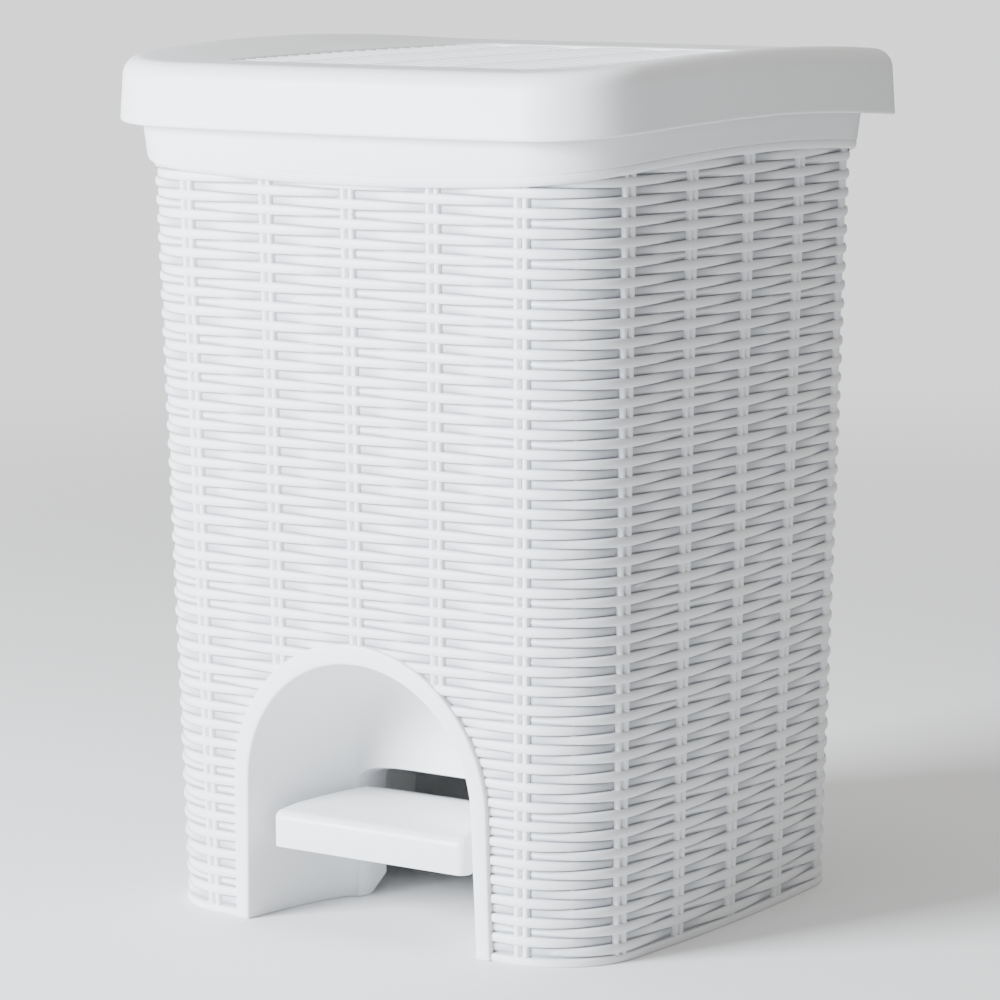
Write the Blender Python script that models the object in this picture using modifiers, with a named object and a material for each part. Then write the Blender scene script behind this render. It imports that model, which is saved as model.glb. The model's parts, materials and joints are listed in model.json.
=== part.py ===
"""Household pedal bin with a wicker-look casing, modelled as separate pieces.

Metres, +Z up. The origin is under the middle of the whole bin, on the floor, and the pedal faces -Y.
Pieces are drawn about the casing's own centre line, which lies BODY_Y from the origin.
"""

import math

import bmesh
import bpy
from mathutils import Matrix, Vector

# ---- driving dimensions -------------------------------------------------------------------------
GAP = 0.0003                      # clearance between pieces that touch
WALL = 0.003                      # casing wall

CASE_BOTTOM = (0.1395, 0.1310)    # casing half width and half depth at the floor
CASE_TOP = (0.1497, 0.1390)       # the same at CASE_GROWTH_HEIGHT
CASE_GROWTH_HEIGHT = 0.402
CASE_HEIGHT = 0.396
CASE_CORNER = 0.046               # corner radius in plan
SIDE_BULGE = 1.100                # radius of the gently curved sides
FRONT_BULGE = 2.800               # radius of the gently curved front and back

LID_HALF = (0.1630, 0.15985)
LID_CORNER = 0.050
LID_FRONT_REACH = 0.1527          # lid's front edge, from the casing's centre line
BODY_Y = LID_FRONT_REACH - LID_HALF[1]
LID_Y = -BODY_Y                   # lid's middle, from the casing's centre line
LID_RIM_Z = 0.4053                 # lowest of the lid's lower edge, at the front's middle
LID_SIDE_RIM = 0.4121             # highest of its lower edge, near the sides' middle
LID_CORNER_RIM = 0.4043           # its lower edge at the rear corners
LID_SIDE_PEAK_Y = -0.010
LID_SIDE_CURVES = (0.22, 0.33)    # how fast the lower edge falls in front of and behind the peak
LID_TOP_Z = 0.4376                # level part of the lid's top
LID_TOP_RISE = 0.0067             # height of the sides' arch above it
LID_CREST = (0.096, 0.153)        # where the arch starts and where it is highest
LID_ARCH_REACH = 0.155
LID_EDGE_RADIUS = 0.010
LID_SKIN = 0.0025
PANEL_HALF = (0.102, 0.112)
PANEL_RECESS = 0.0022

COLLAR_TOP = 0.418
COLLAR_LOW, COLLAR_WAVE = 0.3865, 0.0065
LEDGE_Z = 0.3986                  # collar ledge that the bucket hangs on

LEDGE_TRAY_Z = 0.0657             # casing ledge under the tray
TRAY_BOTTOM, TRAY_TOP = 0.066, 0.069

ARCH_OUTER = (0.0793, 0.0784, 0.072, 0.079)   # half width at floor, at spring, spring height, rise
ARCH_INNER = (0.0710, 0.0690, 0.072, 0.0686)
ARCH_PROUD = 0.001
NICHE_SKIN = 0.0022
NICHE_BACK_Y = -0.062
NICHE_FLANGE_Y = -0.040

LID_OPEN = math.radians(65.0)
HINGE_Y, HINGE_Z = 0.150, 0.406
ROD_Y = 0.1215
FINGER_RADIUS = 0.004
FINGER_REACH = (HINGE_Y - ROD_Y) / math.cos(LID_OPEN / 2.0)
FINGER_DROP = FINGER_REACH * math.sin(LID_OPEN / 2.0)
PUSH_GAP = 0.0007                 # free play between finger, rod and pedal

PIVOT_Y, PIVOT_Z = -0.0153, 0.034
PIN_RADIUS = 0.003
ROD_RADIUS = 0.003
ROD_LOW = 0.016                   # bottom of the rod's foot
FOOT_RADIUS = 0.0044
CAP_TOP = HINGE_Z - FINGER_DROP - FINGER_RADIUS - PUSH_GAP

EAR_RADIUS = 0.0055
HINGE_PIN_RADIUS = 0.002
KNUCKLE = (0.0413, 0.0517)
EARS = ((0.038, 0.041), (0.052, 0.055))

BUCKET_PIVOT_Y, BUCKET_PIVOT_Z = -0.014, 0.390
BAIL_RADIUS = 0.0018
BAIL_SIDE, BAIL_FRONT = 0.134, -0.113

SCREW_RADIUS = 0.0016
SCREW_HEAD = 0.0032
RAIL = (0.058, 0.061)

WHITE = (0.86, 0.87, 0.88)
WARM_WHITE = (0.84, 0.84, 0.82)
GREY = (0.55, 0.56, 0.57)
STEEL = (0.62, 0.62, 0.63)

# ---- scene ----------------------------------------------------------------------------------------
for leftover in list(bpy.data.objects):
    bpy.data.objects.remove(leftover, do_unlink=True)

PARTS = bpy.data.collections.new("pedal_bin")
CUTTERS = bpy.data.collections.new("cutters")
for group in (PARTS, CUTTERS):
    bpy.context.scene.collection.children.link(group)


def empty(name, place, parent=None):
    """An empty that pieces hang on; place is measured from the casing's centre line."""
    axis = bpy.data.objects.new(name, None)
    PARTS.objects.link(axis)
    axis.parent = parent
    axis.location = place
    return axis


CASE = empty("case_centre", (0.0, BODY_Y, 0.0))
LID_AXIS = empty("lid_axis", (0.0, HINGE_Y, HINGE_Z), CASE)
PEDAL_AXIS = empty("pedal_axis", (0.0, PIVOT_Y, PIVOT_Z), CASE)
ROD_AXIS = empty("rod_axis", (0.0, ROD_Y, 0.0), CASE)
BAIL_AXIS = empty("bail_axis", (0.0, BUCKET_PIVOT_Y, BUCKET_PIVOT_Z), CASE)


def hang(thing, axis):
    """Parent thing to an axis so that its mesh stays in casing coordinates."""
    thing.parent = axis
    if axis is not CASE:
        thing.location = -axis.location


def plastic(name, colour, roughness=0.42, metallic=0.0):
    """A plain Principled material."""
    material = bpy.data.materials.new(name)
    material.use_nodes = True
    shader = material.node_tree.nodes["Principled BSDF"]
    shader.inputs["Base Color"].default_value = (*colour, 1.0)
    shader.inputs["Roughness"].default_value = roughness
    shader.inputs["Metallic"].default_value = metallic
    return material


def finish(bm, name, axis=CASE, colour=None, roughness=0.42, metallic=0.0, closed=True):
    """Turn a bmesh into a part, or into a hidden cutter when it has no colour."""
    if closed:
        bmesh.ops.remove_doubles(bm, verts=bm.verts, dist=1e-7)
        bmesh.ops.recalc_face_normals(bm, faces=bm.faces)
    mesh = bpy.data.meshes.new(name)
    bm.to_mesh(mesh)
    bm.free()
    thing = bpy.data.objects.new(name, mesh)
    hang(thing, axis)
    if colour is None:
        CUTTERS.objects.link(thing)
        thing.hide_render = True
        thing.display_type = "WIRE"
        return thing
    PARTS.objects.link(thing)
    mesh.materials.append(plastic(name, colour, roughness, metallic))
    mesh.shade_smooth()
    mesh.set_sharp_from_angle(angle=math.radians(35.0))
    return thing


def boolean(target, tool, operation="DIFFERENCE"):
    """Cut, or join, tool and target."""
    modifier = target.modifiers.new(tool.name, "BOOLEAN")
    modifier.operation = operation
    modifier.object = tool
    return target


# ---- outlines --------------------------------------------------------------------------------------
def plan(half_width, half_depth, corner, centre_y=0.0, side=4, turn=6):
    """Rounded rectangle with gently curved sides, as four shallow arcs and four tangent corners."""
    side_x = half_width - SIDE_BULGE
    front_y = -(half_depth - FRONT_BULGE)
    reach_side, reach_front = SIDE_BULGE - corner, FRONT_BULGE - corner
    span = math.hypot(side_x, front_y)
    along = (reach_side ** 2 - reach_front ** 2 + span ** 2) / (2.0 * span)
    off = math.sqrt(reach_side ** 2 - along ** 2)
    ux, uy = -side_x / span, front_y / span
    options = [(side_x + along * ux - s * off * uy, along * uy + s * off * ux) for s in (1, -1)]
    qx, qy = next(q for q in options if q[0] > 0 > q[1])
    front_turn = math.atan2(qy - front_y, qx)
    side_turn = math.atan2(qy, qx - side_x)
    quarter = []
    for i in range(side):
        t = -math.pi / 2 + (front_turn + math.pi / 2) * i / side
        quarter.append((FRONT_BULGE * math.cos(t), front_y + FRONT_BULGE * math.sin(t)))
    for i in range(turn):
        t = front_turn + (side_turn - front_turn) * i / turn
        quarter.append((qx + corner * math.cos(t), qy + corner * math.sin(t)))
    for i in range(side):
        t = side_turn * (1.0 - i / side)
        quarter.append((side_x + SIDE_BULGE * math.cos(t), SIDE_BULGE * math.sin(t)))
    back = [(x, -y) for x, y in quarter[:0:-1]]
    right = quarter + [(half_width, 0.0)] + back
    left = [(-x, y) for x, y in right[:0:-1]]
    return [(x, y + centre_y) for x, y in right + [(0.0, half_depth)] + left]


def case_half(z, offset=0.0):
    """Half width and half depth of the casing's outside at height z."""
    share = z / CASE_GROWTH_HEIGHT
    return tuple(low + (high - low) * share + offset for low, high in zip(CASE_BOTTOM, CASE_TOP))


def saddle(x, y, half_width, half_depth):
    """One at the middle of the sides, minus one at the middle of the front and back."""
    return (x / half_width) ** 2 - (y / half_depth) ** 2


def case_ring(z, offset=0.0, wave=0.0):
    """Ring of points round the casing at height z, lifted and dropped by wave."""
    half = case_half(z, offset)
    return [Vector((x, y, z + wave * saddle(x, y, *half)))
            for x, y in plan(*half, CASE_CORNER + offset)]


def lid_lift(x, y):
    """Height of the lid's arched sides above its level top."""
    share = min(1.0, max(0.0, (abs(x) - LID_CREST[0]) / (LID_CREST[1] - LID_CREST[0])))
    along = max(0.0, 1.0 - (y / LID_ARCH_REACH) ** 2)
    return LID_TOP_RISE * share * share * (3.0 - 2.0 * share) * along


def lid_rim(x, y):
    """Height of the lid's lower edge."""
    curve = LID_SIDE_CURVES[0] if y < LID_SIDE_PEAK_Y else LID_SIDE_CURVES[1]
    side = max(LID_CORNER_RIM, LID_SIDE_RIM - curve * (y - LID_SIDE_PEAK_Y) ** 2)
    return LID_RIM_Z + (side - LID_RIM_Z) * abs(x / LID_HALF[0]) ** 5


def lid_outline(offset):
    """Points of the lid's outline, moved outwards by offset."""
    outline = plan(LID_HALF[0] + offset, LID_HALF[1] + offset, LID_CORNER + offset)
    return [(x, y + LID_Y) for x, y in outline]


def top_ring(offset, z):
    """Ring near the lid's top, following its arched sides."""
    return [Vector((x, y, z + lid_lift(x, y))) for x, y in lid_outline(offset)]


def rim_ring(offset):
    """Ring along the lid's lower edge."""
    return [Vector((x, y, lid_rim(x, y))) for x, y in lid_outline(offset)]


def panel_ring(scale, z, grow=0.0):
    """Ring of points about the lid's woven panel."""
    half = ((PANEL_HALF[0] + grow) * scale, (PANEL_HALF[1] + grow) * scale)
    outline = plan(*half, (0.018 + grow) * scale)
    return [Vector((x, y, z + lid_lift(x, y))) for x, y in outline]


def arch(shape, y_of, floor=0.0, power=2.0, jamb=4, crown=16):
    """Open chain from the floor, up over an arch and down again; y_of gives the depth of a point."""
    foot, spring, height, rise = shape
    left = [(-(foot + (spring - foot) * i / jamb), floor + (height - floor) * i / jamb)
            for i in range(jamb)]
    crown_points = []
    for i in range(crown + 1):
        t = math.pi * i / crown
        c, s = math.cos(t), math.sin(t)
        x = -spring * math.copysign(abs(c) ** (2.0 / power), c)
        crown_points.append((x, height + rise * s ** (2.0 / power) if s > 1e-9 else height))
    right = [(-x, z) for x, z in left[::-1]]
    return [Vector((x, y_of(x, z), z)) for x, z in left + crown_points + right]


def front_face(x, z):
    """Depth of the casing's front surface at x and z."""
    return -case_half(z)[1] + x * x / (2.0 * FRONT_BULGE)


# ---- solids -----------------------------------------------------------------------------------------
def loft(rings, loop=True, cap=False, join=False):
    """Extrude a chain of edges through every ring; cap closes both ends, join meets the first ring."""
    bm = bmesh.new()
    verts = [bm.verts.new(p) for p in rings[0]]
    start = 0 if loop else 1
    edges = [bm.edges.new((verts[i - 1], verts[i])) for i in range(start, len(verts))]
    ends = [list(edges)]
    for ring in list(rings[1:]) + ([rings[0]] if join else []):
        made = bmesh.ops.extrude_edge_only(bm, edges=edges)["geom"]
        fresh = {v for v in made if isinstance(v, bmesh.types.BMVert)}
        heads = []
        for vert in verts:
            others = (edge.other_vert(vert) for edge in vert.link_edges)
            heads.append(next(v for v in others if v in fresh))
        for head, place in zip(heads, ring):
            head.co = place
        edges = [e for e in made if isinstance(e, bmesh.types.BMEdge) and set(e.verts) <= fresh]
        verts = heads
    ends.append(edges)
    if cap:
        for end in ends:
            bmesh.ops.edgeloop_fill(bm, edges=end)
    return bm


def prism(outline, direction):
    """Flat outline pushed along direction."""
    return loft([outline, [point + direction for point in outline]], cap=True)


def box(low, high):
    """Plain block between two corners."""
    bm = bmesh.new()
    low, high = Vector(low), Vector(high)
    place = Matrix.Translation((low + high) / 2.0) @ Matrix.Diagonal((*(high - low), 1.0))
    bmesh.ops.create_cube(bm, size=1.0, matrix=place)
    return bm


def tube(start, end, radius, segments=24, tip=None):
    """Cylinder between two points, or a cone when tip is given."""
    bm = bmesh.new()
    start, end = Vector(start), Vector(end)
    turn = (end - start).to_track_quat("Z", "Y").to_matrix().to_4x4()
    bmesh.ops.create_cone(
        bm, cap_ends=True, segments=segments, radius1=radius,
        radius2=radius if tip is None else tip, depth=(end - start).length,
        matrix=Matrix.Translation((start + end) / 2.0) @ turn)
    return bm


def side_outline(x, points):
    """Outline in a plane across X, from pairs of y and z."""
    return [Vector((x, y, z)) for y, z in points]


def arc(centre, radius, first, last, steps):
    """Points on an arc in the plane of its centre; angles in degrees."""
    angles = [math.radians(first + (last - first) * i / steps) for i in range(steps + 1)]
    return [(centre[0] + radius * math.cos(a), centre[1] + radius * math.sin(a)) for a in angles]


def rounded(thing, width=0.0008, segments=2, angle=40.0):
    """Round the sharp edges of a piece."""
    modifier = thing.modifiers.new("rounding", "BEVEL")
    modifier.width = width
    modifier.segments = segments
    modifier.limit_method = "ANGLE"
    modifier.angle_limit = math.radians(angle)
    return thing


# ---- casing -------------------------------------------------------------------------------------------
def body_shell():
    """Tapered casing with a ledge for the tray; the front is cut out for the niche."""
    rings = [case_ring(0.0), case_ring(0.150), case_ring(0.280), case_ring(CASE_HEIGHT)]
    rings += [case_ring(CASE_HEIGHT, -WALL), case_ring(LEDGE_TRAY_Z, -WALL)]
    rings += [case_ring(LEDGE_TRAY_Z, -WALL - 0.003), case_ring(LEDGE_TRAY_Z - 0.0025, -WALL - 0.003)]
    rings += [case_ring(LEDGE_TRAY_Z - 0.0065, -WALL), case_ring(0.0, -WALL)]
    shell = finish(loft(rings, join=True), "body_shell", colour=WHITE)
    foot, spring, height, rise = ARCH_OUTER
    grown = (foot + GAP, spring + GAP, height, rise + GAP)
    outline = arch(grown, lambda x, z: -0.150, floor=-0.002)
    boolean(shell, finish(prism(outline, Vector((0.0, 0.033, 0.0))), "arch_cutter"))
    return shell


def pedal_niche():
    """Arched frame, a scoop behind it and the short tunnel that the pedal passes through."""
    floor = 0.0003
    proud = lambda x, z: front_face(x, z) - ARCH_PROUD
    rings = [arch(ARCH_OUTER, lambda x, z: front_face(x, z) + 0.0022, floor)]
    rings += [arch(ARCH_OUTER, proud, floor), arch(ARCH_INNER, proud, floor)]
    depth_start, depth_end = -0.129, NICHE_BACK_Y
    steps = 7
    for i in range(1, steps + 1):
        share = i / steps
        y = depth_start + (depth_end - depth_start) * math.sin(share * math.pi / 2.0)
        narrow = 0.0187 * share ** 1.3
        drop = 1.0 - math.sqrt(max(0.0, 1.0 - share ** 2))
        crown_top = 0.1406 + (0.072 - 0.1406) * (0.25 * share + 0.75 * drop)
        height = 0.072 + (0.054 - 0.072) * share ** 2
        shape = (0.0705 - narrow, 0.0690 - narrow * 0.93, height, crown_top - height)
        rings.append(arch(shape, lambda x, z: y, floor, power=2.0 + 2.4 * share ** 3))
    rings.append([Vector((p.x, NICHE_FLANGE_Y, p.z)) for p in rings[-1]])
    niche = finish(loft(rings, loop=False), "pedal_niche", colour=WHITE, closed=False)
    skin = niche.modifiers.new("skin", "SOLIDIFY")
    skin.thickness = NICHE_SKIN
    skin.offset = -1.0
    skin.use_even_offset = True
    for side in (-1, 1):
        ends = sorted((side * 0.0525, side * 0.068))
        tab = finish(box((ends[0], -0.050, 0.0630), (ends[1], -0.034, TRAY_BOTTOM - GAP)),
                     f"niche_tab_{side}")
        boolean(niche, tab, "UNION")
        boolean(niche, finish(tube((side * 0.062, -0.042, 0.060), (side * 0.062, -0.042, 0.070),
                                   SCREW_RADIUS + GAP), f"niche_tab_hole_{side}"))
    return niche


def base_tray():
    """Shelf that the bucket stands over, with two rails for the pedal's pin."""
    outline = case_ring(TRAY_BOTTOM, -WALL - GAP)
    bm = prism(outline, Vector((0.0, 0.0, TRAY_TOP - TRAY_BOTTOM)))
    tray = finish(bm, "base_tray", colour=WARM_WHITE)
    cuts = [box((-0.2, -0.2, 0.05), (0.2, -0.054, 0.08)),
            box((-0.057, -0.060, 0.05), (0.057, -0.038, 0.08)),
            tube((0.0, ROD_Y, 0.05), (0.0, ROD_Y, 0.08), ROD_RADIUS + 0.0006)]
    for x, y in ((-0.062, -0.042), (0.062, -0.042), (-0.010, ROD_Y), (0.010, ROD_Y)):
        cuts.append(tube((x, y, 0.05), (x, y, 0.08), SCREW_RADIUS + GAP, 16))
    for index, cut in enumerate(cuts):
        boolean(tray, finish(cut, f"tray_cut_{index}"))
    for side in (-1, 1):
        curve = arc((PIVOT_Y, PIVOT_Z), 0.011, 180.0, 360.0, 8)
        points = curve + [(PIVOT_Y + 0.016, TRAY_BOTTOM + 0.001), (PIVOT_Y - 0.016, TRAY_BOTTOM + 0.001)]
        rail = prism(side_outline(side * RAIL[0], points), Vector((side * (RAIL[1] - RAIL[0]), 0, 0)))
        boolean(tray, finish(rail, f"tray_rail_{side}"), "UNION")
    bore = tube((-0.07, PIVOT_Y, PIVOT_Z), (0.07, PIVOT_Y, PIVOT_Z), PIN_RADIUS + GAP)
    boolean(tray, finish(bore, "tray_bore"))
    return tray


def top_collar():
    """Band round the top of the casing, with a wavy rolled lower edge, a ledge and hinge ears."""
    low = COLLAR_LOW
    outside = [(0.0012, 0.0, 1.0), (0.0026, 0.0008, 1.0), (0.0031, 0.0026, 1.0), (0.0024, 0.0052, 1.0),
               (0.0036, 0.0100, 0.6), (0.0045, 0.0180, 0.1), (0.0045, COLLAR_TOP - low - 0.001, 0.0)]
    rings = [case_ring(low + up, offset, COLLAR_WAVE * wave) for offset, up, wave in outside]
    rings += [case_ring(COLLAR_TOP, 0.0037), case_ring(COLLAR_TOP, 0.0022),
              case_ring(COLLAR_TOP - 0.001, 0.0015), case_ring(LEDGE_Z, 0.0015),
              case_ring(LEDGE_Z, -0.0025), case_ring(CASE_HEIGHT + GAP, -0.0025),
              case_ring(CASE_HEIGHT + GAP, GAP), case_ring(low + 0.0005, GAP, COLLAR_WAVE)]
    collar = finish(loft(rings, join=True), "top_collar", colour=WHITE)
    face = case_half(HINGE_Z, 0.003)[1]
    for side in (-1, 1):
        for index, (inner, outer) in enumerate(EARS):
            curve = arc((HINGE_Y, HINGE_Z), EAR_RADIUS, -90.0, 90.0, 10)
            points = curve + [(face, HINGE_Z + EAR_RADIUS), (face, HINGE_Z - EAR_RADIUS)]
            ear = prism(side_outline(side * inner, points), Vector((side * (outer - inner), 0, 0)))
            boolean(collar, finish(ear, f"ear_{side}_{index}"), "UNION")
    bore = tube((-0.08, HINGE_Y, HINGE_Z), (0.08, HINGE_Y, HINGE_Z), HINGE_PIN_RADIUS + GAP, 16)
    boolean(collar, finish(bore, "ear_bore"))
    return collar


def bucket_ring(z, half_width, front, back, corner):
    """Ring of the bucket between its front and back at height z."""
    outline = plan(half_width, (back - front) / 2.0, corner, (back + front) / 2.0)
    return [Vector((x, y, z)) for x, y in outline]


def inner_bucket():
    """Lift-out bucket: hangs by its flange, with its toe cut back to clear the niche."""
    top = LEDGE_Z + GAP
    outside = [(0.0723, 0.108, -0.024, 0.088, 0.030), (0.0790, 0.118, -0.034, 0.095, 0.034),
               (0.1850, 0.130, -0.112, 0.098, 0.038), (top, 0.1415, -0.1305, 0.1030, 0.040)]
    inside = [(top + 0.002, 0.1395, -0.1285, 0.1010, 0.038), (0.1860, 0.128, -0.110, 0.096, 0.036),
              (0.0810, 0.116, -0.031, 0.093, 0.032), (0.0745, 0.106, -0.022, 0.086, 0.028)]
    half_width, half_depth = case_half(top, 0.0006)
    half_width -= 0.0014
    flange = [(top, half_width, -half_depth, 0.1085, 0.050),
              (top + 0.0025, half_width, -half_depth, 0.1085, 0.050)]
    rings = [bucket_ring(*row) for row in outside + flange + inside]
    bucket = finish(loft(rings, cap=True), "inner_bucket", colour=GREY, roughness=0.5)
    hole = tube((-0.16, BUCKET_PIVOT_Y, BUCKET_PIVOT_Z), (0.16, BUCKET_PIVOT_Y, BUCKET_PIVOT_Z),
                BAIL_RADIUS + GAP, 16)
    boolean(bucket, finish(hole, "bail_hole"))
    return bucket


def bail():
    """Wire handle folded forward in the bucket's mouth, and its grip."""
    end = case_half(BUCKET_PIVOT_Z, -WALL - 0.0018)[0]
    small, large = 0.006, 0.030
    half = [(-end, BUCKET_PIVOT_Y)]
    half += arc((-BAIL_SIDE - small + 2 * small, BUCKET_PIVOT_Y - small), small, 90.0, 180.0, 4)
    half += arc((-BAIL_SIDE + large, BAIL_FRONT + large), large, 180.0, 270.0, 8)
    path = half + [(-x, y) for x, y in half[::-1]]
    curve = bpy.data.curves.new("bail_path", "CURVE")
    curve.dimensions = "3D"
    curve.bevel_depth = BAIL_RADIUS
    curve.bevel_resolution = 2
    curve.use_fill_caps = True
    line = curve.splines.new("POLY")
    line.points.add(len(path) - 1)
    for point, (x, y) in zip(line.points, path):
        point.co = (x, y, BUCKET_PIVOT_Z, 1.0)
    wire = bpy.data.objects.new("bail_handle", curve)
    PARTS.objects.link(wire)
    hang(wire, BAIL_AXIS)
    curve.materials.append(plastic("bail_handle", STEEL, 0.3, 1.0))
    grip = tube((-0.036, BAIL_FRONT, BUCKET_PIVOT_Z), (0.036, BAIL_FRONT, BUCKET_PIVOT_Z), 0.005)
    grip = finish(grip, "handle_grip", BAIL_AXIS, WARM_WHITE)
    bore = tube((-0.05, BAIL_FRONT, BUCKET_PIVOT_Z), (0.05, BAIL_FRONT, BUCKET_PIVOT_Z),
                BAIL_RADIUS + GAP, 16)
    boolean(grip, finish(bore, "grip_bore", BAIL_AXIS))
    return wire


# ---- lid ------------------------------------------------------------------------------------------------
def lid_shell():
    """Overhanging lid with a recessed panel, a seating rib and two screw bosses underneath."""
    radius = LID_EDGE_RADIUS
    shoulder = LID_TOP_Z - radius
    edge = -0.0015 - radius
    panel_z = LID_TOP_Z - PANEL_RECESS
    turns = [math.radians(90.0 - 22.5 * i) for i in range(5)]
    rings = [panel_ring(s, panel_z, -0.004) for s in (0.08, 0.4, 0.75, 1.0)]
    rings += [panel_ring(1.0, LID_TOP_Z, grow) for grow in (0.0, 0.012, 0.026)]
    rings += [top_ring(edge + radius * math.cos(t), shoulder + radius * math.sin(t)) for t in turns]
    rings += [rim_ring(0.0), rim_ring(-LID_SKIN)]
    inner = radius - LID_SKIN
    rings += [top_ring(edge + inner * math.cos(t), shoulder + inner * math.sin(t)) for t in turns[::-1]]
    rib = [(0.0033, LID_TOP_Z - LID_SKIN, 1.0), (0.0033, COLLAR_TOP + 0.0005, 0.0),
           (0.0015, COLLAR_TOP + 0.0005, 0.0), (0.0015, LID_TOP_Z - LID_SKIN, 1.0)]
    for offset, z, share in rib:
        half = case_half(COLLAR_TOP, offset)
        rings.append([Vector((x, y, z + share * lid_lift(x, y)))
                      for x, y in plan(*half, CASE_CORNER + offset)])
    rings += [panel_ring(1.0, LID_TOP_Z - LID_SKIN, 0.026), panel_ring(1.0, LID_TOP_Z - LID_SKIN, 0.012)]
    rings += [panel_ring(1.0, LID_TOP_Z - LID_SKIN, 0.0018)]
    rings += [panel_ring(s, panel_z - LID_SKIN, -0.0022) for s in (1.0, 0.75, 0.4, 0.08)]
    lid = finish(loft(rings, cap=True), "lid_shell", LID_AXIS, WHITE)
    room = box((-0.059, 0.132, COLLAR_TOP - 0.002), (0.059, 0.150, 0.4300))
    boolean(lid, finish(room, "rib_gap", LID_AXIS))
    for side in (-1, 1):
        post = tube((side * 0.030, 0.124, 0.4273), (side * 0.030, 0.124, 0.4364), 0.0045)
        boolean(lid, finish(post, f"lid_post_{side}", LID_AXIS), "UNION")
        bore = tube((side * 0.030, 0.124, 0.42), (side * 0.030, 0.124, 0.4345), SCREW_RADIUS + GAP, 16)
        boolean(lid, finish(bore, f"lid_post_bore_{side}", LID_AXIS))
    return lid


def lid_hinge_bracket():
    """Plate under the lid, with the two hinge knuckles and the finger that the rod lifts."""
    low, high = 0.4240, 0.4270
    plate = box((-0.056, ROD_Y - 0.006, low), (0.056, HINGE_Y + EAR_RADIUS, high))
    bracket = finish(plate, "lid_hinge_bracket", LID_AXIS, WARM_WHITE)
    for side in (-1, 1):
        curve = arc((HINGE_Y, HINGE_Z), EAR_RADIUS, 180.0, 360.0, 12)
        points = curve + [(HINGE_Y + EAR_RADIUS, low + 0.001), (HINGE_Y - EAR_RADIUS, low + 0.001)]
        arm = prism(side_outline(side * KNUCKLE[0], points), Vector((side * (KNUCKLE[1] - KNUCKLE[0]), 0, 0)))
        boolean(bracket, finish(arm, f"knuckle_{side}", LID_AXIS), "UNION")
        hole = tube((side * 0.030, 0.124, low - 0.01), (side * 0.030, 0.124, high + 0.01),
                    SCREW_RADIUS + GAP, 16)
        boolean(bracket, finish(hole, f"bracket_hole_{side}", LID_AXIS))
    tip = (ROD_Y, HINGE_Z - FINGER_DROP)
    curve = arc(tip, FINGER_RADIUS, 180.0, 360.0, 12)
    points = curve + [(ROD_Y + FINGER_RADIUS, low + 0.001), (ROD_Y - FINGER_RADIUS, low + 0.001)]
    finger = prism(side_outline(-0.005, points), Vector((0.010, 0, 0)))
    boolean(bracket, finish(finger, "finger", LID_AXIS), "UNION")
    bore = tube((-0.08, HINGE_Y, HINGE_Z), (0.08, HINGE_Y, HINGE_Z), HINGE_PIN_RADIUS + GAP, 16)
    boolean(bracket, finish(bore, "knuckle_bore", LID_AXIS))
    return bracket


# ---- pedal and rod ----------------------------------------------------------------------------------------
def section(y, half_width, low, high, round_top=0.003):
    """Cross-section of the pedal at depth y, with rounded upper corners."""
    right = arc((half_width - round_top, high - round_top), round_top, 0.0, 90.0, 3)
    left = [(-x, z) for x, z in right[::-1]]
    points = [(half_width, low)] + right + left + [(-half_width, low)]
    return [Vector((x, y, z)) for x, z in points]


def pedal():
    """Foot plate with a hollow lip, a tapering lever, the pivot boss and the tail under the rod."""
    rows = [(-0.1250, 0.0580, 0.0400, 0.0560), (-0.1235, 0.0600, 0.0390, 0.0580),
            (-0.1100, 0.0577, 0.0390, 0.0597), (-0.0620, 0.0490, 0.0420, 0.0600),
            (-0.0450, 0.0480, 0.0380, 0.0560), (PIVOT_Y, 0.0480, 0.0290, 0.0440)]
    lever = finish(loft([section(*row) for row in rows], cap=True), "pedal", PEDAL_AXIS, WHITE)
    skin = 0.0028
    hollow = [(-0.1222, 0.0600 - skin, 0.030, 0.0580 - skin), (-0.1100, 0.0577 - skin, 0.030, 0.0597 - skin),
              (-0.0620, 0.0490 - skin, 0.030, 0.0600 - skin), (-0.0450, 0.0480 - skin, 0.028, 0.0560 - skin),
              (PIVOT_Y - 0.009, 0.0480 - skin, 0.020, 0.0465 - skin)]
    boolean(lever, finish(loft([section(*row) for row in hollow], cap=True), "pedal_hollow", PEDAL_AXIS))
    boss = tube((-0.050, PIVOT_Y, PIVOT_Z), (0.050, PIVOT_Y, PIVOT_Z), 0.0085, 28)
    boolean(lever, finish(boss, "pedal_boss", PEDAL_AXIS), "UNION")
    top = ROD_LOW - PUSH_GAP
    tail = [(PIVOT_Y, 0.0100, 0.0265, 0.0415), (0.0500, 0.0095, 0.0125, 0.0240),
            (0.1100, 0.0090, 0.0085, top), (0.1265, 0.0085, 0.0095, top)]
    boolean(lever, finish(loft([section(*row, 0.001) for row in tail], cap=True), "pedal_tail",
                          PEDAL_AXIS), "UNION")
    bore = tube((-0.07, PIVOT_Y, PIVOT_Z), (0.07, PIVOT_Y, PIVOT_Z), PIN_RADIUS + GAP)
    boolean(lever, finish(bore, "pedal_bore", PEDAL_AXIS))
    return lever


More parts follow.
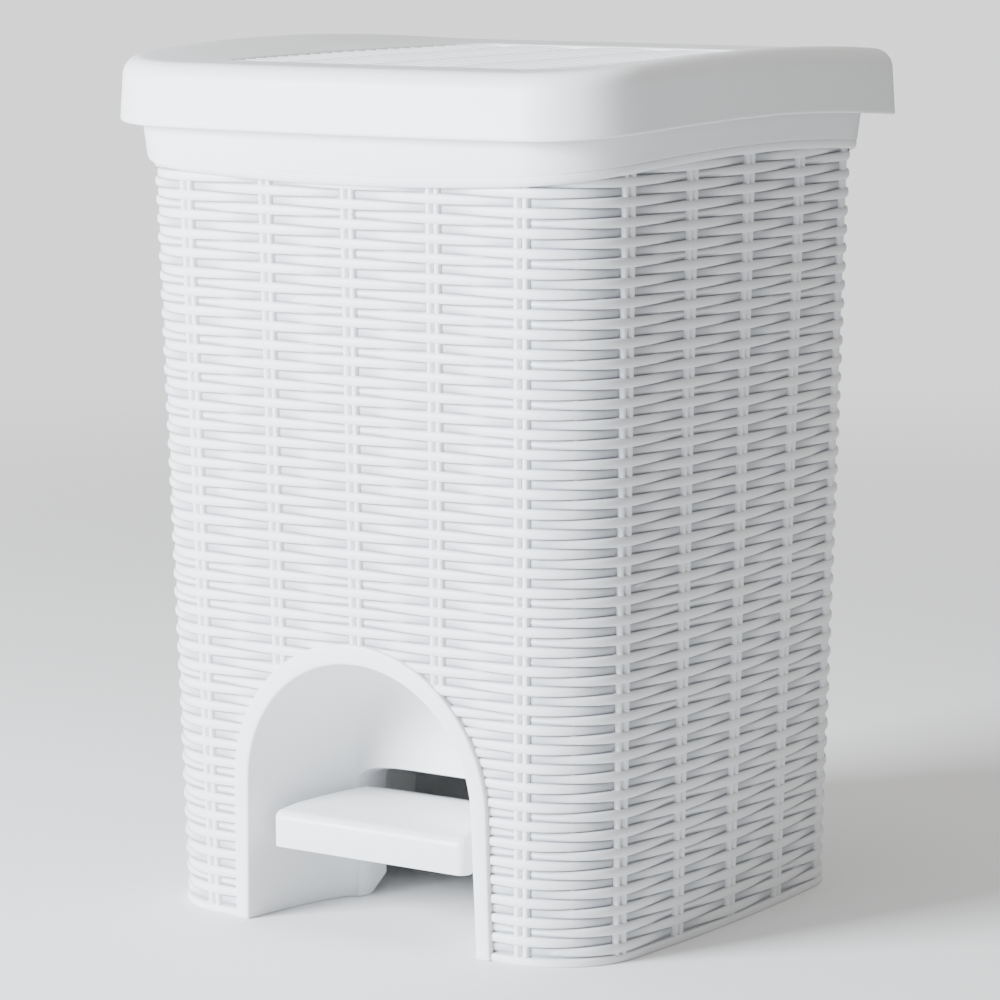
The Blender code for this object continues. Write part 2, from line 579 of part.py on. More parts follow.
def push_rod():
    """Steel rod up the back of the bin, with a rounded foot and an oblong cap."""
    rod_bottom, rod_top = ROD_LOW + 0.0045, CAP_TOP - 0.0035
    finish(tube((0, ROD_Y, rod_bottom), (0, ROD_Y, rod_top), ROD_RADIUS, 20), "push_rod", ROD_AXIS,
           STEEL, 0.3, 1.0)
    dome = [(0.0, 0.0)] + [(FOOT_RADIUS * math.sin(math.radians(a)),
                            FOOT_RADIUS * (1.0 - math.cos(math.radians(a)))) for a in (20, 40, 60, 80, 90)]
    profile = dome + [(FOOT_RADIUS, 0.012), (ROD_RADIUS + GAP, 0.012), (ROD_RADIUS + GAP, 0.0042),
                      (0.0, 0.0042)]
    bm = bmesh.new()
    verts = [bm.verts.new((x, ROD_Y, ROD_LOW + z)) for x, z in profile]
    edges = [bm.edges.new(pair) for pair in zip(verts, verts[1:])]
    bmesh.ops.spin(bm, geom=verts + edges, cent=(0, ROD_Y, 0), axis=(0, 0, 1), angle=2 * math.pi,
                   steps=20, use_merge=True)
    bmesh.ops.remove_doubles(bm, verts=bm.verts, dist=1e-6)
    finish(bm, "rod_foot", ROD_AXIS, GREY)
    cap = box((-0.006, 0.1115, CAP_TOP - 0.012), (0.006, 0.1280, CAP_TOP))
    cap = finish(cap, "rod_cap", ROD_AXIS, GREY)
    rounded(cap, 0.0015)
    bore = tube((0, ROD_Y, CAP_TOP - 0.02), (0, ROD_Y, CAP_TOP - 0.0032), ROD_RADIUS + GAP, 20)
    boolean(cap, finish(bore, "cap_bore", ROD_AXIS))


def rod_guides():
    """Blocks that keep the rod upright, one on the tray and one on the casing's back wall."""
    lower = finish(box((-0.014, ROD_Y - 0.0075, TRAY_TOP + GAP), (0.014, ROD_Y + 0.0062, 0.081)),
                   "rod_guide_lower", colour=WARM_WHITE)
    rounded(lower)
    back = case_half(0.340)[1] - WALL - GAP - 0.0002
    upper = finish(box((-0.011, ROD_Y - 0.007, 0.340), (0.011, back, 0.354)), "rod_guide_upper",
                   colour=WARM_WHITE)
    rounded(upper)
    for index, guide in enumerate((lower, upper)):
        bore = tube((0, ROD_Y, 0.05 + 0.27 * index), (0, ROD_Y, 0.10 + 0.27 * index),
                    ROD_RADIUS + 0.0004, 20)
        boolean(guide, finish(bore, f"guide_bore_{index}"))
    for side in (-1, 1):
        bore = tube((side * 0.010, ROD_Y, 0.05), (side * 0.010, ROD_Y, 0.10), SCREW_RADIUS + GAP, 16)
        boolean(lower, finish(bore, f"guide_screw_bore_{side}"))


# ---- pins, clips and screws -----------------------------------------------------------------------------
def screw(name, place, up, length, axis=CASE):
    """Pan-head screw whose head bears at place and whose shank points up or down."""
    way = 1.0 if up else -1.0
    x, y, z = place
    heights = [(0.0, -0.0018), (0.0022, -0.0018), (SCREW_HEAD, -0.0008), (SCREW_HEAD, 0.0),
               (SCREW_RADIUS, 0.0), (SCREW_RADIUS, length - 0.001), (SCREW_RADIUS * 0.6, length),
               (0.0, length)]
    bm = bmesh.new()
    verts = [bm.verts.new((x + r, y, z + way * h)) for r, h in heights]
    edges = [bm.edges.new(pair) for pair in zip(verts, verts[1:])]
    bmesh.ops.spin(bm, geom=verts + edges, cent=(x, y, z), axis=(0, 0, 1), angle=2 * math.pi,
                   steps=16, use_merge=True)
    bmesh.ops.remove_doubles(bm, verts=bm.verts, dist=1e-6)
    return finish(bm, name, axis, STEEL, 0.3, 1.0)


def fasteners():
    """Pedal pin with its clips, hinge pins and screws."""
    pin = finish(tube((-0.066, PIVOT_Y, PIVOT_Z), (0.066, PIVOT_Y, PIVOT_Z), PIN_RADIUS),
                 "pedal_pivot_pin", colour=STEEL, roughness=0.3, metallic=1.0)
    rounded(pin, 0.0004, 1)
    for side, word in ((-1, "left"), (1, "right")):
        inner, outer = side * (RAIL[1] + GAP), side * (RAIL[1] + GAP + 0.0015)
        clip = finish(tube((inner, PIVOT_Y, PIVOT_Z), (outer, PIVOT_Y, PIVOT_Z), 0.0065),
                      f"pivot_clip_{word}", colour=STEEL, roughness=0.35, metallic=1.0)
        bore = tube((side * 0.055, PIVOT_Y, PIVOT_Z), (side * 0.070, PIVOT_Y, PIVOT_Z), PIN_RADIUS + GAP)
        boolean(clip, finish(bore, f"clip_bore_{word}"))
        pin = tube((side * 0.037, HINGE_Y, HINGE_Z), (side * 0.056, HINGE_Y, HINGE_Z), HINGE_PIN_RADIUS, 16)
        finish(pin, f"hinge_pin_{word}", colour=STEEL, roughness=0.3, metallic=1.0)
        screw(f"niche_screw_{word}", (side * 0.062, -0.042, 0.0630 - GAP), True, 0.0065)
        screw(f"guide_screw_{word}", (side * 0.010, ROD_Y, 0.081 + GAP), False, 0.014)
        screw(f"bracket_screw_{word}", (side * 0.030, 0.124, 0.4240 - GAP), True, 0.0098, LID_AXIS)


body_shell()
pedal_niche()
base_tray()
top_collar()
inner_bucket()
bail()
lid_shell()
lid_hinge_bracket()
pedal()
push_rod()
rod_guides()
fasteners()
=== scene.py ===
import json
import logging
import math
from dataclasses import dataclass, field
from enum import Enum
from typing import Callable, Iterable, Sequence

import bmesh
import bpy
import numpy as np
from mathutils import Matrix, Vector


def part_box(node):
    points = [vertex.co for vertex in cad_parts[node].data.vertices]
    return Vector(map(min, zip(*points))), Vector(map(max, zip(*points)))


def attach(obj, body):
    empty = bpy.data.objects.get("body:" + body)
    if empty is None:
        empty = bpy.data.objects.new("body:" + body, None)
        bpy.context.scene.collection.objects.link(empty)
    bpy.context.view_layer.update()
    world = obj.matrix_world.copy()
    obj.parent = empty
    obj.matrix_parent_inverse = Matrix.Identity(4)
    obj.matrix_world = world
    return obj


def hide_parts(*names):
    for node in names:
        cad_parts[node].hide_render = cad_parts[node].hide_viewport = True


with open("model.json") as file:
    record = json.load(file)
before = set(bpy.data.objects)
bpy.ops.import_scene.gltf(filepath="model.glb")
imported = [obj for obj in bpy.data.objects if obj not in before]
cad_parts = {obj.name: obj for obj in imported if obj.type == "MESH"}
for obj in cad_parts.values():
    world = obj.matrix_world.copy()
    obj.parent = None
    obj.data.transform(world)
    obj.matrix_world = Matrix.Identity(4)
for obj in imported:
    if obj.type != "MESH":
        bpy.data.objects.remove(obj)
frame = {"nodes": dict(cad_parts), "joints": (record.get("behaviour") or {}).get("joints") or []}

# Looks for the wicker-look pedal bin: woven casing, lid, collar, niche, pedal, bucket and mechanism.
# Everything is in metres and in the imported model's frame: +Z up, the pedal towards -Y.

LOG = logging.getLogger("pedal_bin")
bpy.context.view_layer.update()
MM = 0.001
STAKES_PER_FACE = 5
STAKES_ROUND = 4 * STAKES_PER_FACE
ROD_SPANS = 9
UPRIGHT = (0.0, 0.0, 1.0)
MOULDED_IOR = 1.49

Ring = np.ndarray
Height = Callable[[np.ndarray, np.ndarray], np.ndarray]


class Facing(Enum):
    """Which way an open sheet's faces have to point."""

    OUTWARD = "away from the bin's middle"
    UP = "up"
    CLOSED = "out of a closed body"


# ---- mesh helpers --------------------------------------------------------------------------------------


def link(mesh: bpy.types.Mesh, name: str) -> bpy.types.Object:
    """Put a mesh in the scene.

    Args:
        mesh: The finished mesh.
        name: The piece's name.

    Returns:
        The new object.
    """
    thing = bpy.data.objects.new(name, mesh)
    bpy.context.scene.collection.objects.link(thing)
    return thing


def grid_surface(points: np.ndarray, loop: bool = False,
                 facing: Facing = Facing.CLOSED) -> bmesh.types.BMesh:
    """Lay a grid over rows of points.

    Args:
        points: Array of rows by columns by 3.
        loop: Whether each row closes on itself.
        facing: Which way the faces point.

    Returns:
        The surface, with doubles merged.
    """
    if loop:
        points = np.concatenate([points, points[:, :1]], axis=1)
    rows, columns = points.shape[:2]
    bm = bmesh.new()
    bmesh.ops.create_grid(bm, x_segments=columns - 1, y_segments=rows - 1, size=1.0)
    for vert in bm.verts:
        column = round((vert.co.x + 1.0) / 2.0 * (columns - 1))
        row = round((vert.co.y + 1.0) / 2.0 * (rows - 1))
        vert.co = points[row, column]
    bmesh.ops.remove_doubles(bm, verts=bm.verts, dist=1e-6)
    if facing is Facing.CLOSED:
        bmesh.ops.recalc_face_normals(bm, faces=bm.faces)
        return bm
    bm.normal_update()
    middle = Vector((0.0, CASING.centre_y, 0.0))
    total = 0.0
    for face in bm.faces:
        out = Vector((0.0, 0.0, 1.0))
        if facing is Facing.OUTWARD:
            out = face.calc_center_median() - middle
            out.z = 0.0
        total += face.normal.dot(out) * face.calc_area()
    if total < 0.0:
        bmesh.ops.reverse_faces(bm, faces=bm.faces)
    return bm


def capped(rings: Sequence[Ring]) -> bmesh.types.BMesh:
    """Closed body through a row of closed rings, with both ends filled."""
    bm = grid_surface(np.array(rings), loop=True)
    bmesh.ops.holes_fill(bm, edges=bm.edges, sides=0)
    bmesh.ops.recalc_face_normals(bm, faces=bm.faces)
    return bm


def gather(whole: bmesh.types.BMesh, part: bmesh.types.BMesh) -> None:
    """Add a part to a larger body and free the part."""
    mesh = bpy.data.meshes.new("part")
    part.to_mesh(mesh)
    part.free()
    whole.from_mesh(mesh)
    bpy.data.meshes.remove(mesh)


def middle_of(node: str) -> tuple[float, float, float]:
    """Middle of a CAD node's box."""
    return tuple((low + high) / 2.0 for low, high in zip(*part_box(node)))


def joint_place(name: str) -> Sequence[float]:
    """A point on a packed joint's axis."""
    return next(joint for joint in frame["joints"] if joint["name"] == name)["pos_m"]


def to_piece(bm: bmesh.types.BMesh, name: str, sharp: float = 38.0) -> bpy.types.Object:
    """Turn a bmesh into a smooth-shaded piece.

    Args:
        bm: The shape; it is freed.
        name: The piece's name.
        sharp: Edges over this angle, in degrees, stay sharp.

    Returns:
        The new object.
    """
    mesh = bpy.data.meshes.new(name)
    bm.to_mesh(mesh)
    bm.free()
    mesh.shade_smooth()
    mesh.set_sharp_from_angle(angle=math.radians(sharp))
    return link(mesh, name)


def bake_modifiers(thing: bpy.types.Object) -> bpy.types.Object:
    """Apply a piece's modifiers to its mesh."""
    bpy.context.view_layer.update()
    evaluated = thing.evaluated_get(bpy.context.evaluated_depsgraph_get())
    mesh = bpy.data.meshes.new_from_object(evaluated)
    mesh.name = thing.name
    thing.modifiers.clear()
    thing.data = mesh
    return thing


def cut(thing: bpy.types.Object, tools: Iterable[bmesh.types.BMesh]) -> bpy.types.Object:
    """Take each closed tool out of a closed piece.

    Args:
        thing: The piece to cut.
        tools: Closed shapes; they are freed.

    Returns:
        The same piece.
    """
    cutters = []
    for index, tool in enumerate(tools):
        cutter = to_piece(tool, f"{thing.name}_tool_{index}")
        modifier = thing.modifiers.new(cutter.name, "BOOLEAN")
        modifier.operation = "DIFFERENCE"
        modifier.object = cutter
        cutters.append(cutter)
    bake_modifiers(thing)
    for cutter in cutters:
        bpy.data.objects.remove(cutter)
    thing.data.shade_smooth()
    thing.data.set_sharp_from_angle(angle=math.radians(38.0))
    return thing


def cylinder(start: Sequence[float], end: Sequence[float], radius: float,
             segments: int = 32) -> bmesh.types.BMesh:
    """Closed cylinder between two points."""
    bm = bmesh.new()
    low, high = Vector(start), Vector(end)
    turn = (high - low).to_track_quat("Z", "Y").to_matrix().to_4x4()
    bmesh.ops.create_cone(bm, cap_ends=True, segments=segments, radius1=radius, radius2=radius,
                          depth=(high - low).length, matrix=Matrix.Translation((low + high) / 2.0) @ turn)
    return bm


def turned(profile: Sequence[tuple[float, float]], place: Sequence[float], axis: Sequence[float],
           steps: int = 32) -> bmesh.types.BMesh:
    """Spin a profile round an axis.

    Args:
        profile: Pairs of radius and distance along the axis.
        place: A point on the axis.
        axis: The axis.
        steps: Segments round.

    Returns:
        The closed shape.
    """
    way = Vector(axis).normalized()
    across = way.orthogonal().normalized()
    base = Vector(place)
    bm = bmesh.new()
    verts = [bm.verts.new(base + across * r + way * h) for r, h in profile]
    edges = [bm.edges.new(pair) for pair in zip(verts, verts[1:])]
    bmesh.ops.spin(bm, geom=verts + edges, cent=base, axis=way, angle=2.0 * math.pi, steps=steps,
                   use_merge=True)
    bmesh.ops.remove_doubles(bm, verts=bm.verts, dist=1e-6)
    bmesh.ops.recalc_face_normals(bm, faces=bm.faces)
    return bm


def fillet(corner: tuple[float, float], before: tuple[float, float], after: tuple[float, float],
           radius: float, steps: int = 5) -> list[tuple[float, float]]:
    """Points that round one corner of a profile.

    Args:
        corner: The sharp corner.
        before: The profile's point before it.
        after: The profile's point after it.
        radius: How far the rounding reaches along both sides.
        steps: Number of spans.

    Returns:
        Points on a smooth curve from one side to the other.
    """
    c = np.array(corner)
    a = np.array(before) - c
    b = np.array(after) - c
    start = c + a / np.linalg.norm(a) * min(radius, 0.49 * np.linalg.norm(a))
    end = c + b / np.linalg.norm(b) * min(radius, 0.49 * np.linalg.norm(b))
    share = np.linspace(0.0, 1.0, steps + 1)[:, None]
    pull = 0.8 * c + 0.1 * (start + end)
    curve = (1 - share) ** 2 * start + 2 * share * (1 - share) * pull + share ** 2 * end
    return [tuple(point) for point in curve]


def rounded_profile(points: Sequence[tuple[float, float, float]],
                    steps: int = 5) -> list[tuple[float, float]]:
    """Round the corners of a profile.

    Args:
        points: Triples of the two profile coordinates and the rounding radius, 0 for a plain point.
        steps: Spans in each rounding.

    Returns:
        The profile's points in order.
    """
    out: list[tuple[float, float]] = []
    for index, (u, v, radius) in enumerate(points):
        if radius <= 0.0 or index in (0, len(points) - 1):
            out.append((u, v))
            continue
        out += fillet((u, v), points[index - 1][:2], points[index + 1][:2], radius, steps)
    return out


# ---- the casing's form ---------------------------------------------------------------------------------


@dataclass(frozen=True)
class CasingForm:
    """Outline of the tapered casing, and where its stakes stand.

    The outline is four shallow arcs with tangent corner arcs. Stakes are counted anticlockwise from
    the left end of the front, five to a face, so that stake 2 is at the front's middle.
    """

    centre_y: float
    bottom: tuple[float, float] = (139.5 * MM, 131.0 * MM)
    top: tuple[float, float] = (149.7 * MM, 139.0 * MM)
    growth_height: float = 402.0 * MM
    corner: float = 46.0 * MM
    side_bulge: float = 1.100
    front_bulge: float = 2.800
    stake_spacing: tuple[float, float] = (48.0 * MM, 51.3 * MM)

    def half(self, z: float, offset: float = 0.0) -> tuple[float, float]:
        """Half width and half depth at a height."""
        share = z / self.growth_height
        return (self.bottom[0] + (self.top[0] - self.bottom[0]) * share + offset,
                self.bottom[1] + (self.top[1] - self.bottom[1]) * share + offset)

    def outline(self, half: tuple[float, float], corner: float, flat: int = 14,
                turn: int = 14) -> np.ndarray:
        """Closed outline round the origin, from the front's middle towards +X.

        Args:
            half: Half width and half depth.
            corner: Corner radius.
            flat: Points on half of a side.
            turn: Points on a corner.

        Returns:
            Array of points by 2.
        """
        side_x = half[0] - self.side_bulge
        front_y = -(half[1] - self.front_bulge)
        reach = (self.side_bulge - corner, self.front_bulge - corner)
        span = math.hypot(side_x, front_y)
        along = (reach[0] ** 2 - reach[1] ** 2 + span ** 2) / (2.0 * span)
        off = math.sqrt(reach[0] ** 2 - along ** 2)
        ux, uy = -side_x / span, front_y / span
        options = [(side_x + along * ux - s * off * uy, along * uy + s * off * ux) for s in (1, -1)]
        qx, qy = next(q for q in options if q[0] > 0 > q[1])
        front_turn, side_turn = math.atan2(qy - front_y, qx), math.atan2(qy, qx - side_x)

        def sweep(cx: float, cy: float, radius: float, first: float, last: float, count: int) -> np.ndarray:
            """Points on an arc, without its last one."""
            t = np.linspace(first, last, count, endpoint=False)
            return np.stack([cx + radius * np.cos(t), cy + radius * np.sin(t)], axis=1)

        quarter = np.concatenate([
            sweep(0.0, front_y, self.front_bulge, -math.pi / 2.0, front_turn, flat),
            sweep(qx, qy, corner, front_turn, side_turn, turn),
            sweep(side_x, 0.0, self.side_bulge, side_turn, 0.0, flat)])
        middle = np.array([[half[0], 0.0]])
        back = quarter[:0:-1] * (1, -1)
        left = np.concatenate([quarter, middle, back])[:0:-1] * (-1, 1)
        return np.concatenate([quarter, middle, back, [[0.0, half[1]]], left])

    def ring(self, z: float, offset: float = 0.0, wave: float = 0.0, flat: int = 14, turn: int = 14) -> Ring:
        """Ring round the casing at a height.

        Args:
            z: Height.
            offset: Distance outside the weave's crests.
            wave: How far it rises at the sides' middles and drops at the front's and back's.
            flat: Points on half of a side.
            turn: Points on a corner.

        Returns:
            Array of points by 3.
        """
        half = self.half(z, offset)
        outline = self.outline(half, self.corner + offset, flat, turn)
        lift = wave * ((outline[:, 0] / half[0]) ** 2 - (outline[:, 1] / half[1]) ** 2)
        return np.column_stack([outline[:, 0], outline[:, 1] + self.centre_y, z + lift])

    def stations(self, places: np.ndarray) -> tuple[np.ndarray, np.ndarray, np.ndarray]:
        """Points at stake places, on the floor line and at the growth height, and their outward directions.

        Args:
            places: Stake numbers, with fractions between stakes.

        Returns:
            Low points, high points and unit outward vectors, each places by 2.
        """
        found = []
        for z, spacing in zip((0.0, self.growth_height), self.stake_spacing):
            outline = self.outline(self.half(z), self.corner, 60, 60)
            closed = np.concatenate([outline, outline[:1]])
            steps = np.linalg.norm(np.diff(closed, axis=0), axis=1)
            length = np.concatenate([[0.0], np.cumsum(steps)])
            quarter = length[-1] / 4.0
            face, place = np.divmod(places, float(STAKES_PER_FACE))
            turn = (place - 4.0) * (quarter - 4.0 * spacing) + 2.0 * spacing
            along = np.where(place <= 4.0, (place - 2.0) * spacing, turn) + face * quarter
            along = np.mod(along, length[-1])
            points = np.stack([np.interp(along, length, closed[:, k]) for k in (0, 1)], axis=1)
            ahead = np.mod(along + 0.5 * MM, length[-1])
            next_points = np.stack([np.interp(ahead, length, closed[:, k]) for k in (0, 1)], axis=1)
            found.append((points, next_points - points))
        tangent = found[0][1] + found[1][1]
        out = np.stack([tangent[:, 1], -tangent[:, 0]], axis=1)
        out /= np.linalg.norm(out, axis=1, keepdims=True)
        shift = np.array([0.0, self.centre_y])
        return found[0][0] + shift, found[1][0] + shift, out


def casing_centre() -> float:
    """Where the casing's middle lies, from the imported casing."""
    low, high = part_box("body_shell")
    return (low.y + high.y) / 2.0


CASING = CasingForm(centre_y=casing_centre())


# ---- materials -----------------------------------------------------------------------------------------


class Nodes:
    """Small helper that places and joins shader nodes in one tree."""

    def __init__(self, tree: bpy.types.NodeTree) -> None:
        """Work in a tree."""
        self.tree = tree

    def add(self, kind: str, **values: object) -> bpy.types.Node:
        """Add a node.

        Args:
            kind: Blender's node type.
            **values: Properties of the node, or its inputs' values where the name is an input's.

        Returns:
            The node.
        """
        node = self.tree.nodes.new(kind)
        for name, value in values.items():
            if hasattr(node, name):
                setattr(node, name, value)
            else:
                node.inputs[name.replace("_", " ")].default_value = value
        return node

    def join(self, source: bpy.types.NodeSocket, target: bpy.types.NodeSocket) -> None:
        """Link two sockets."""
        self.tree.links.new(source, target)


def new_group(name: str, inputs: dict[str, tuple[str, object]], outputs: dict[str, str]) -> tuple[
        bpy.types.NodeTree, Nodes, bpy.types.Node, bpy.types.Node]:
    """Start a shader node group.

    Args:
        name: The group's name.
        inputs: Socket name to its type and default value.
        outputs: Socket name to its type.

    Returns:
        The tree, a helper on it, and its input and output nodes.
    """
    tree = bpy.data.node_groups.new(name, "ShaderNodeTree")
    for label, (kind, value) in inputs.items():
        socket = tree.interface.new_socket(label, in_out="INPUT", socket_type=kind)
        if value is not None:
            socket.default_value = value
    for label, kind in outputs.items():
        tree.interface.new_socket(label, in_out="OUTPUT", socket_type=kind)
    nodes = Nodes(tree)
    return tree, nodes, nodes.add("NodeGroupInput"), nodes.add("NodeGroupOutput")


def moulded_tone_and_crevice_shade_group() -> bpy.types.NodeTree:
    """Group for slow changes of tone in moulded plastic, as from flow and handling, and for painted shade,
    which a woven piece feeds in by depth to darken its crevices towards the Shade colour.
    """
    tree, nodes, start, end = new_group(
        "moulded_tone_and_crevice_shade",
        {"Vector": ("NodeSocketVector", None), "Colour": ("NodeSocketColor", (0.9, 0.9, 0.9, 1.0)),
         "Shade": ("NodeSocketColor", (0.8, 0.8, 0.8, 1.0)), "Amount": ("NodeSocketFloat", 0.3),
         "Depth": ("NodeSocketFloat", 0.0)},
        {"Colour": "NodeSocketColor"})
    cloud = nodes.add("ShaderNodeTexNoise", Scale=9.0, Detail=4.0, Roughness=0.55)
    speck = nodes.add("ShaderNodeTexNoise", Scale=140.0, Detail=2.0, Roughness=0.5)
    spread = nodes.add("ShaderNodeMapRange", From_Min=0.35, From_Max=0.75)
    both = nodes.add("ShaderNodeMath", operation="MULTIPLY_ADD")
    both.inputs[1].default_value = 0.35
    amount = nodes.add("ShaderNodeMath", operation="MULTIPLY")
    deep = nodes.add("ShaderNodeMath", operation="ADD", use_clamp=True)
    mix = nodes.add("ShaderNodeMix", data_type="RGBA")
    nodes.join(start.outputs["Vector"], cloud.inputs["Vector"])
    nodes.join(start.outputs["Vector"], speck.inputs["Vector"])
    nodes.join(cloud.outputs["Fac"], spread.inputs["Value"])
    nodes.join(speck.outputs["Fac"], both.inputs[0])
    nodes.join(spread.outputs["Result"], both.inputs[2])
    nodes.join(both.outputs[0], amount.inputs[0])
    nodes.join(start.outputs["Amount"], amount.inputs[1])
    nodes.join(amount.outputs[0], deep.inputs[0])
    # Painted shade: the weave's crevice darkening is added to the random tone before the mix towards the
    # Shade colour.
    nodes.join(start.outputs["Depth"], deep.inputs[1])
    nodes.join(deep.outputs[0], mix.inputs["Factor"])
    nodes.join(start.outputs["Colour"], mix.inputs[6])
    nodes.join(start.outputs["Shade"], mix.inputs[7])
    nodes.join(mix.outputs[2], end.inputs["Colour"])
    return tree


def moulded_skin_group() -> bpy.types.NodeTree:
    """Group for the fine sparked texture of a mould, with rubbed, smoother patches."""
    tree, nodes, start, end = new_group(
        "moulded_skin",
        {"Vector": ("NodeSocketVector", None), "Roughness": ("NodeSocketFloat", 0.42),
         "Grain": ("NodeSocketFloat", 1600.0), "Rubbing": ("NodeSocketFloat", 0.08)},
        {"Roughness": "NodeSocketFloat", "Height": "NodeSocketFloat"})
    grain = nodes.add("ShaderNodeTexNoise", Detail=3.0, Roughness=0.6)
    patch = nodes.add("ShaderNodeTexNoise", Scale=22.0, Detail=5.0, Roughness=0.6)
    scratch = nodes.add("ShaderNodeTexNoise", Scale=60.0, Detail=6.0, Roughness=0.75)
    stretch = nodes.add("ShaderNodeMapping")
    stretch.inputs["Scale"].default_value = (1.0, 9.0, 0.6)
    stretch.inputs["Rotation"].default_value = (0.2, 0.1, 0.5)
    fine = nodes.add("ShaderNodeMapRange", From_Min=0.62, From_Max=0.78)
    centred = nodes.add("ShaderNodeMapRange", From_Min=0.3, From_Max=0.7, To_Min=-1.0, To_Max=1.0)
    total = nodes.add("ShaderNodeMath", operation="MULTIPLY_ADD")
    result = nodes.add("ShaderNodeMath", operation="MULTIPLY_ADD", use_clamp=True)
    height = nodes.add("ShaderNodeMath", operation="MULTIPLY_ADD")
    height.inputs[1].default_value = -0.35
    nodes.join(start.outputs["Vector"], grain.inputs["Vector"])
    nodes.join(start.outputs["Grain"], grain.inputs["Scale"])
    nodes.join(start.outputs["Vector"], patch.inputs["Vector"])
    nodes.join(start.outputs["Vector"], stretch.inputs["Vector"])
    nodes.join(stretch.outputs["Vector"], scratch.inputs["Vector"])
    nodes.join(scratch.outputs["Fac"], fine.inputs["Value"])
    nodes.join(patch.outputs["Fac"], centred.inputs["Value"])
    nodes.join(fine.outputs["Result"], total.inputs[0])
    total.inputs[1].default_value = -0.8
    nodes.join(centred.outputs["Result"], total.inputs[2])
    nodes.join(total.outputs[0], result.inputs[0])
    nodes.join(start.outputs["Rubbing"], result.inputs[1])
    nodes.join(start.outputs["Roughness"], result.inputs[2])
    nodes.join(result.outputs[0], end.inputs["Roughness"])
    nodes.join(fine.outputs["Result"], height.inputs[0])
    nodes.join(grain.outputs["Fac"], height.inputs[2])
    nodes.join(height.outputs[0], end.inputs["Height"])
    return tree


def drawn_steel_group() -> bpy.types.NodeTree:
    """Group for drawn, zinc-plated wire: fine lines along it and dull spangles."""
    tree, nodes, start, end = new_group(
        "drawn_steel",
        {"Vector": ("NodeSocketVector", None), "Colour": ("NodeSocketColor", (0.6, 0.6, 0.6, 1.0)),
         "Roughness": ("NodeSocketFloat", 0.3), "Along": ("NodeSocketVector", (1.0, 1.0, 1.0))},
        {"Colour": "NodeSocketColor", "Roughness": "NodeSocketFloat", "Height": "NodeSocketFloat"})
    squeeze = nodes.add("ShaderNodeVectorMath", operation="MULTIPLY")
    lines = nodes.add("ShaderNodeTexNoise", Scale=900.0, Detail=3.0, Roughness=0.6)
    spangle = nodes.add("ShaderNodeTexVoronoi", Scale=260.0)
    dark = nodes.add("ShaderNodeMix", data_type="RGBA", blend_type="MULTIPLY")
    rough = nodes.add("ShaderNodeMath", operation="MULTIPLY_ADD", use_clamp=True)
    rough.inputs[1].default_value = 0.22
    less = nodes.add("ShaderNodeMapRange", From_Min=0.2, From_Max=0.8, To_Min=-0.4, To_Max=0.8)
    tone = nodes.add("ShaderNodeMapRange", From_Min=0.0, From_Max=1.0, To_Min=0.0, To_Max=0.25)
    shade = nodes.add("ShaderNodeRGB")
    shade.outputs[0].default_value = (0.55, 0.56, 0.58, 1.0)
    nodes.join(start.outputs["Vector"], squeeze.inputs[0])
    nodes.join(start.outputs["Along"], squeeze.inputs[1])
    nodes.join(squeeze.outputs[0], lines.inputs["Vector"])
    nodes.join(start.outputs["Vector"], spangle.inputs["Vector"])
    nodes.join(spangle.outputs["Distance"], tone.inputs["Value"])
    nodes.join(tone.outputs["Result"], dark.inputs["Factor"])
    nodes.join(start.outputs["Colour"], dark.inputs[6])
    nodes.join(shade.outputs[0], dark.inputs[7])
    nodes.join(dark.outputs[2], end.inputs["Colour"])
    nodes.join(lines.outputs["Fac"], less.inputs["Value"])
    nodes.join(less.outputs["Result"], rough.inputs[0])
    nodes.join(start.outputs["Roughness"], rough.inputs[2])
    nodes.join(rough.outputs[0], end.inputs["Roughness"])
    nodes.join(lines.outputs["Fac"], end.inputs["Height"])
    return tree


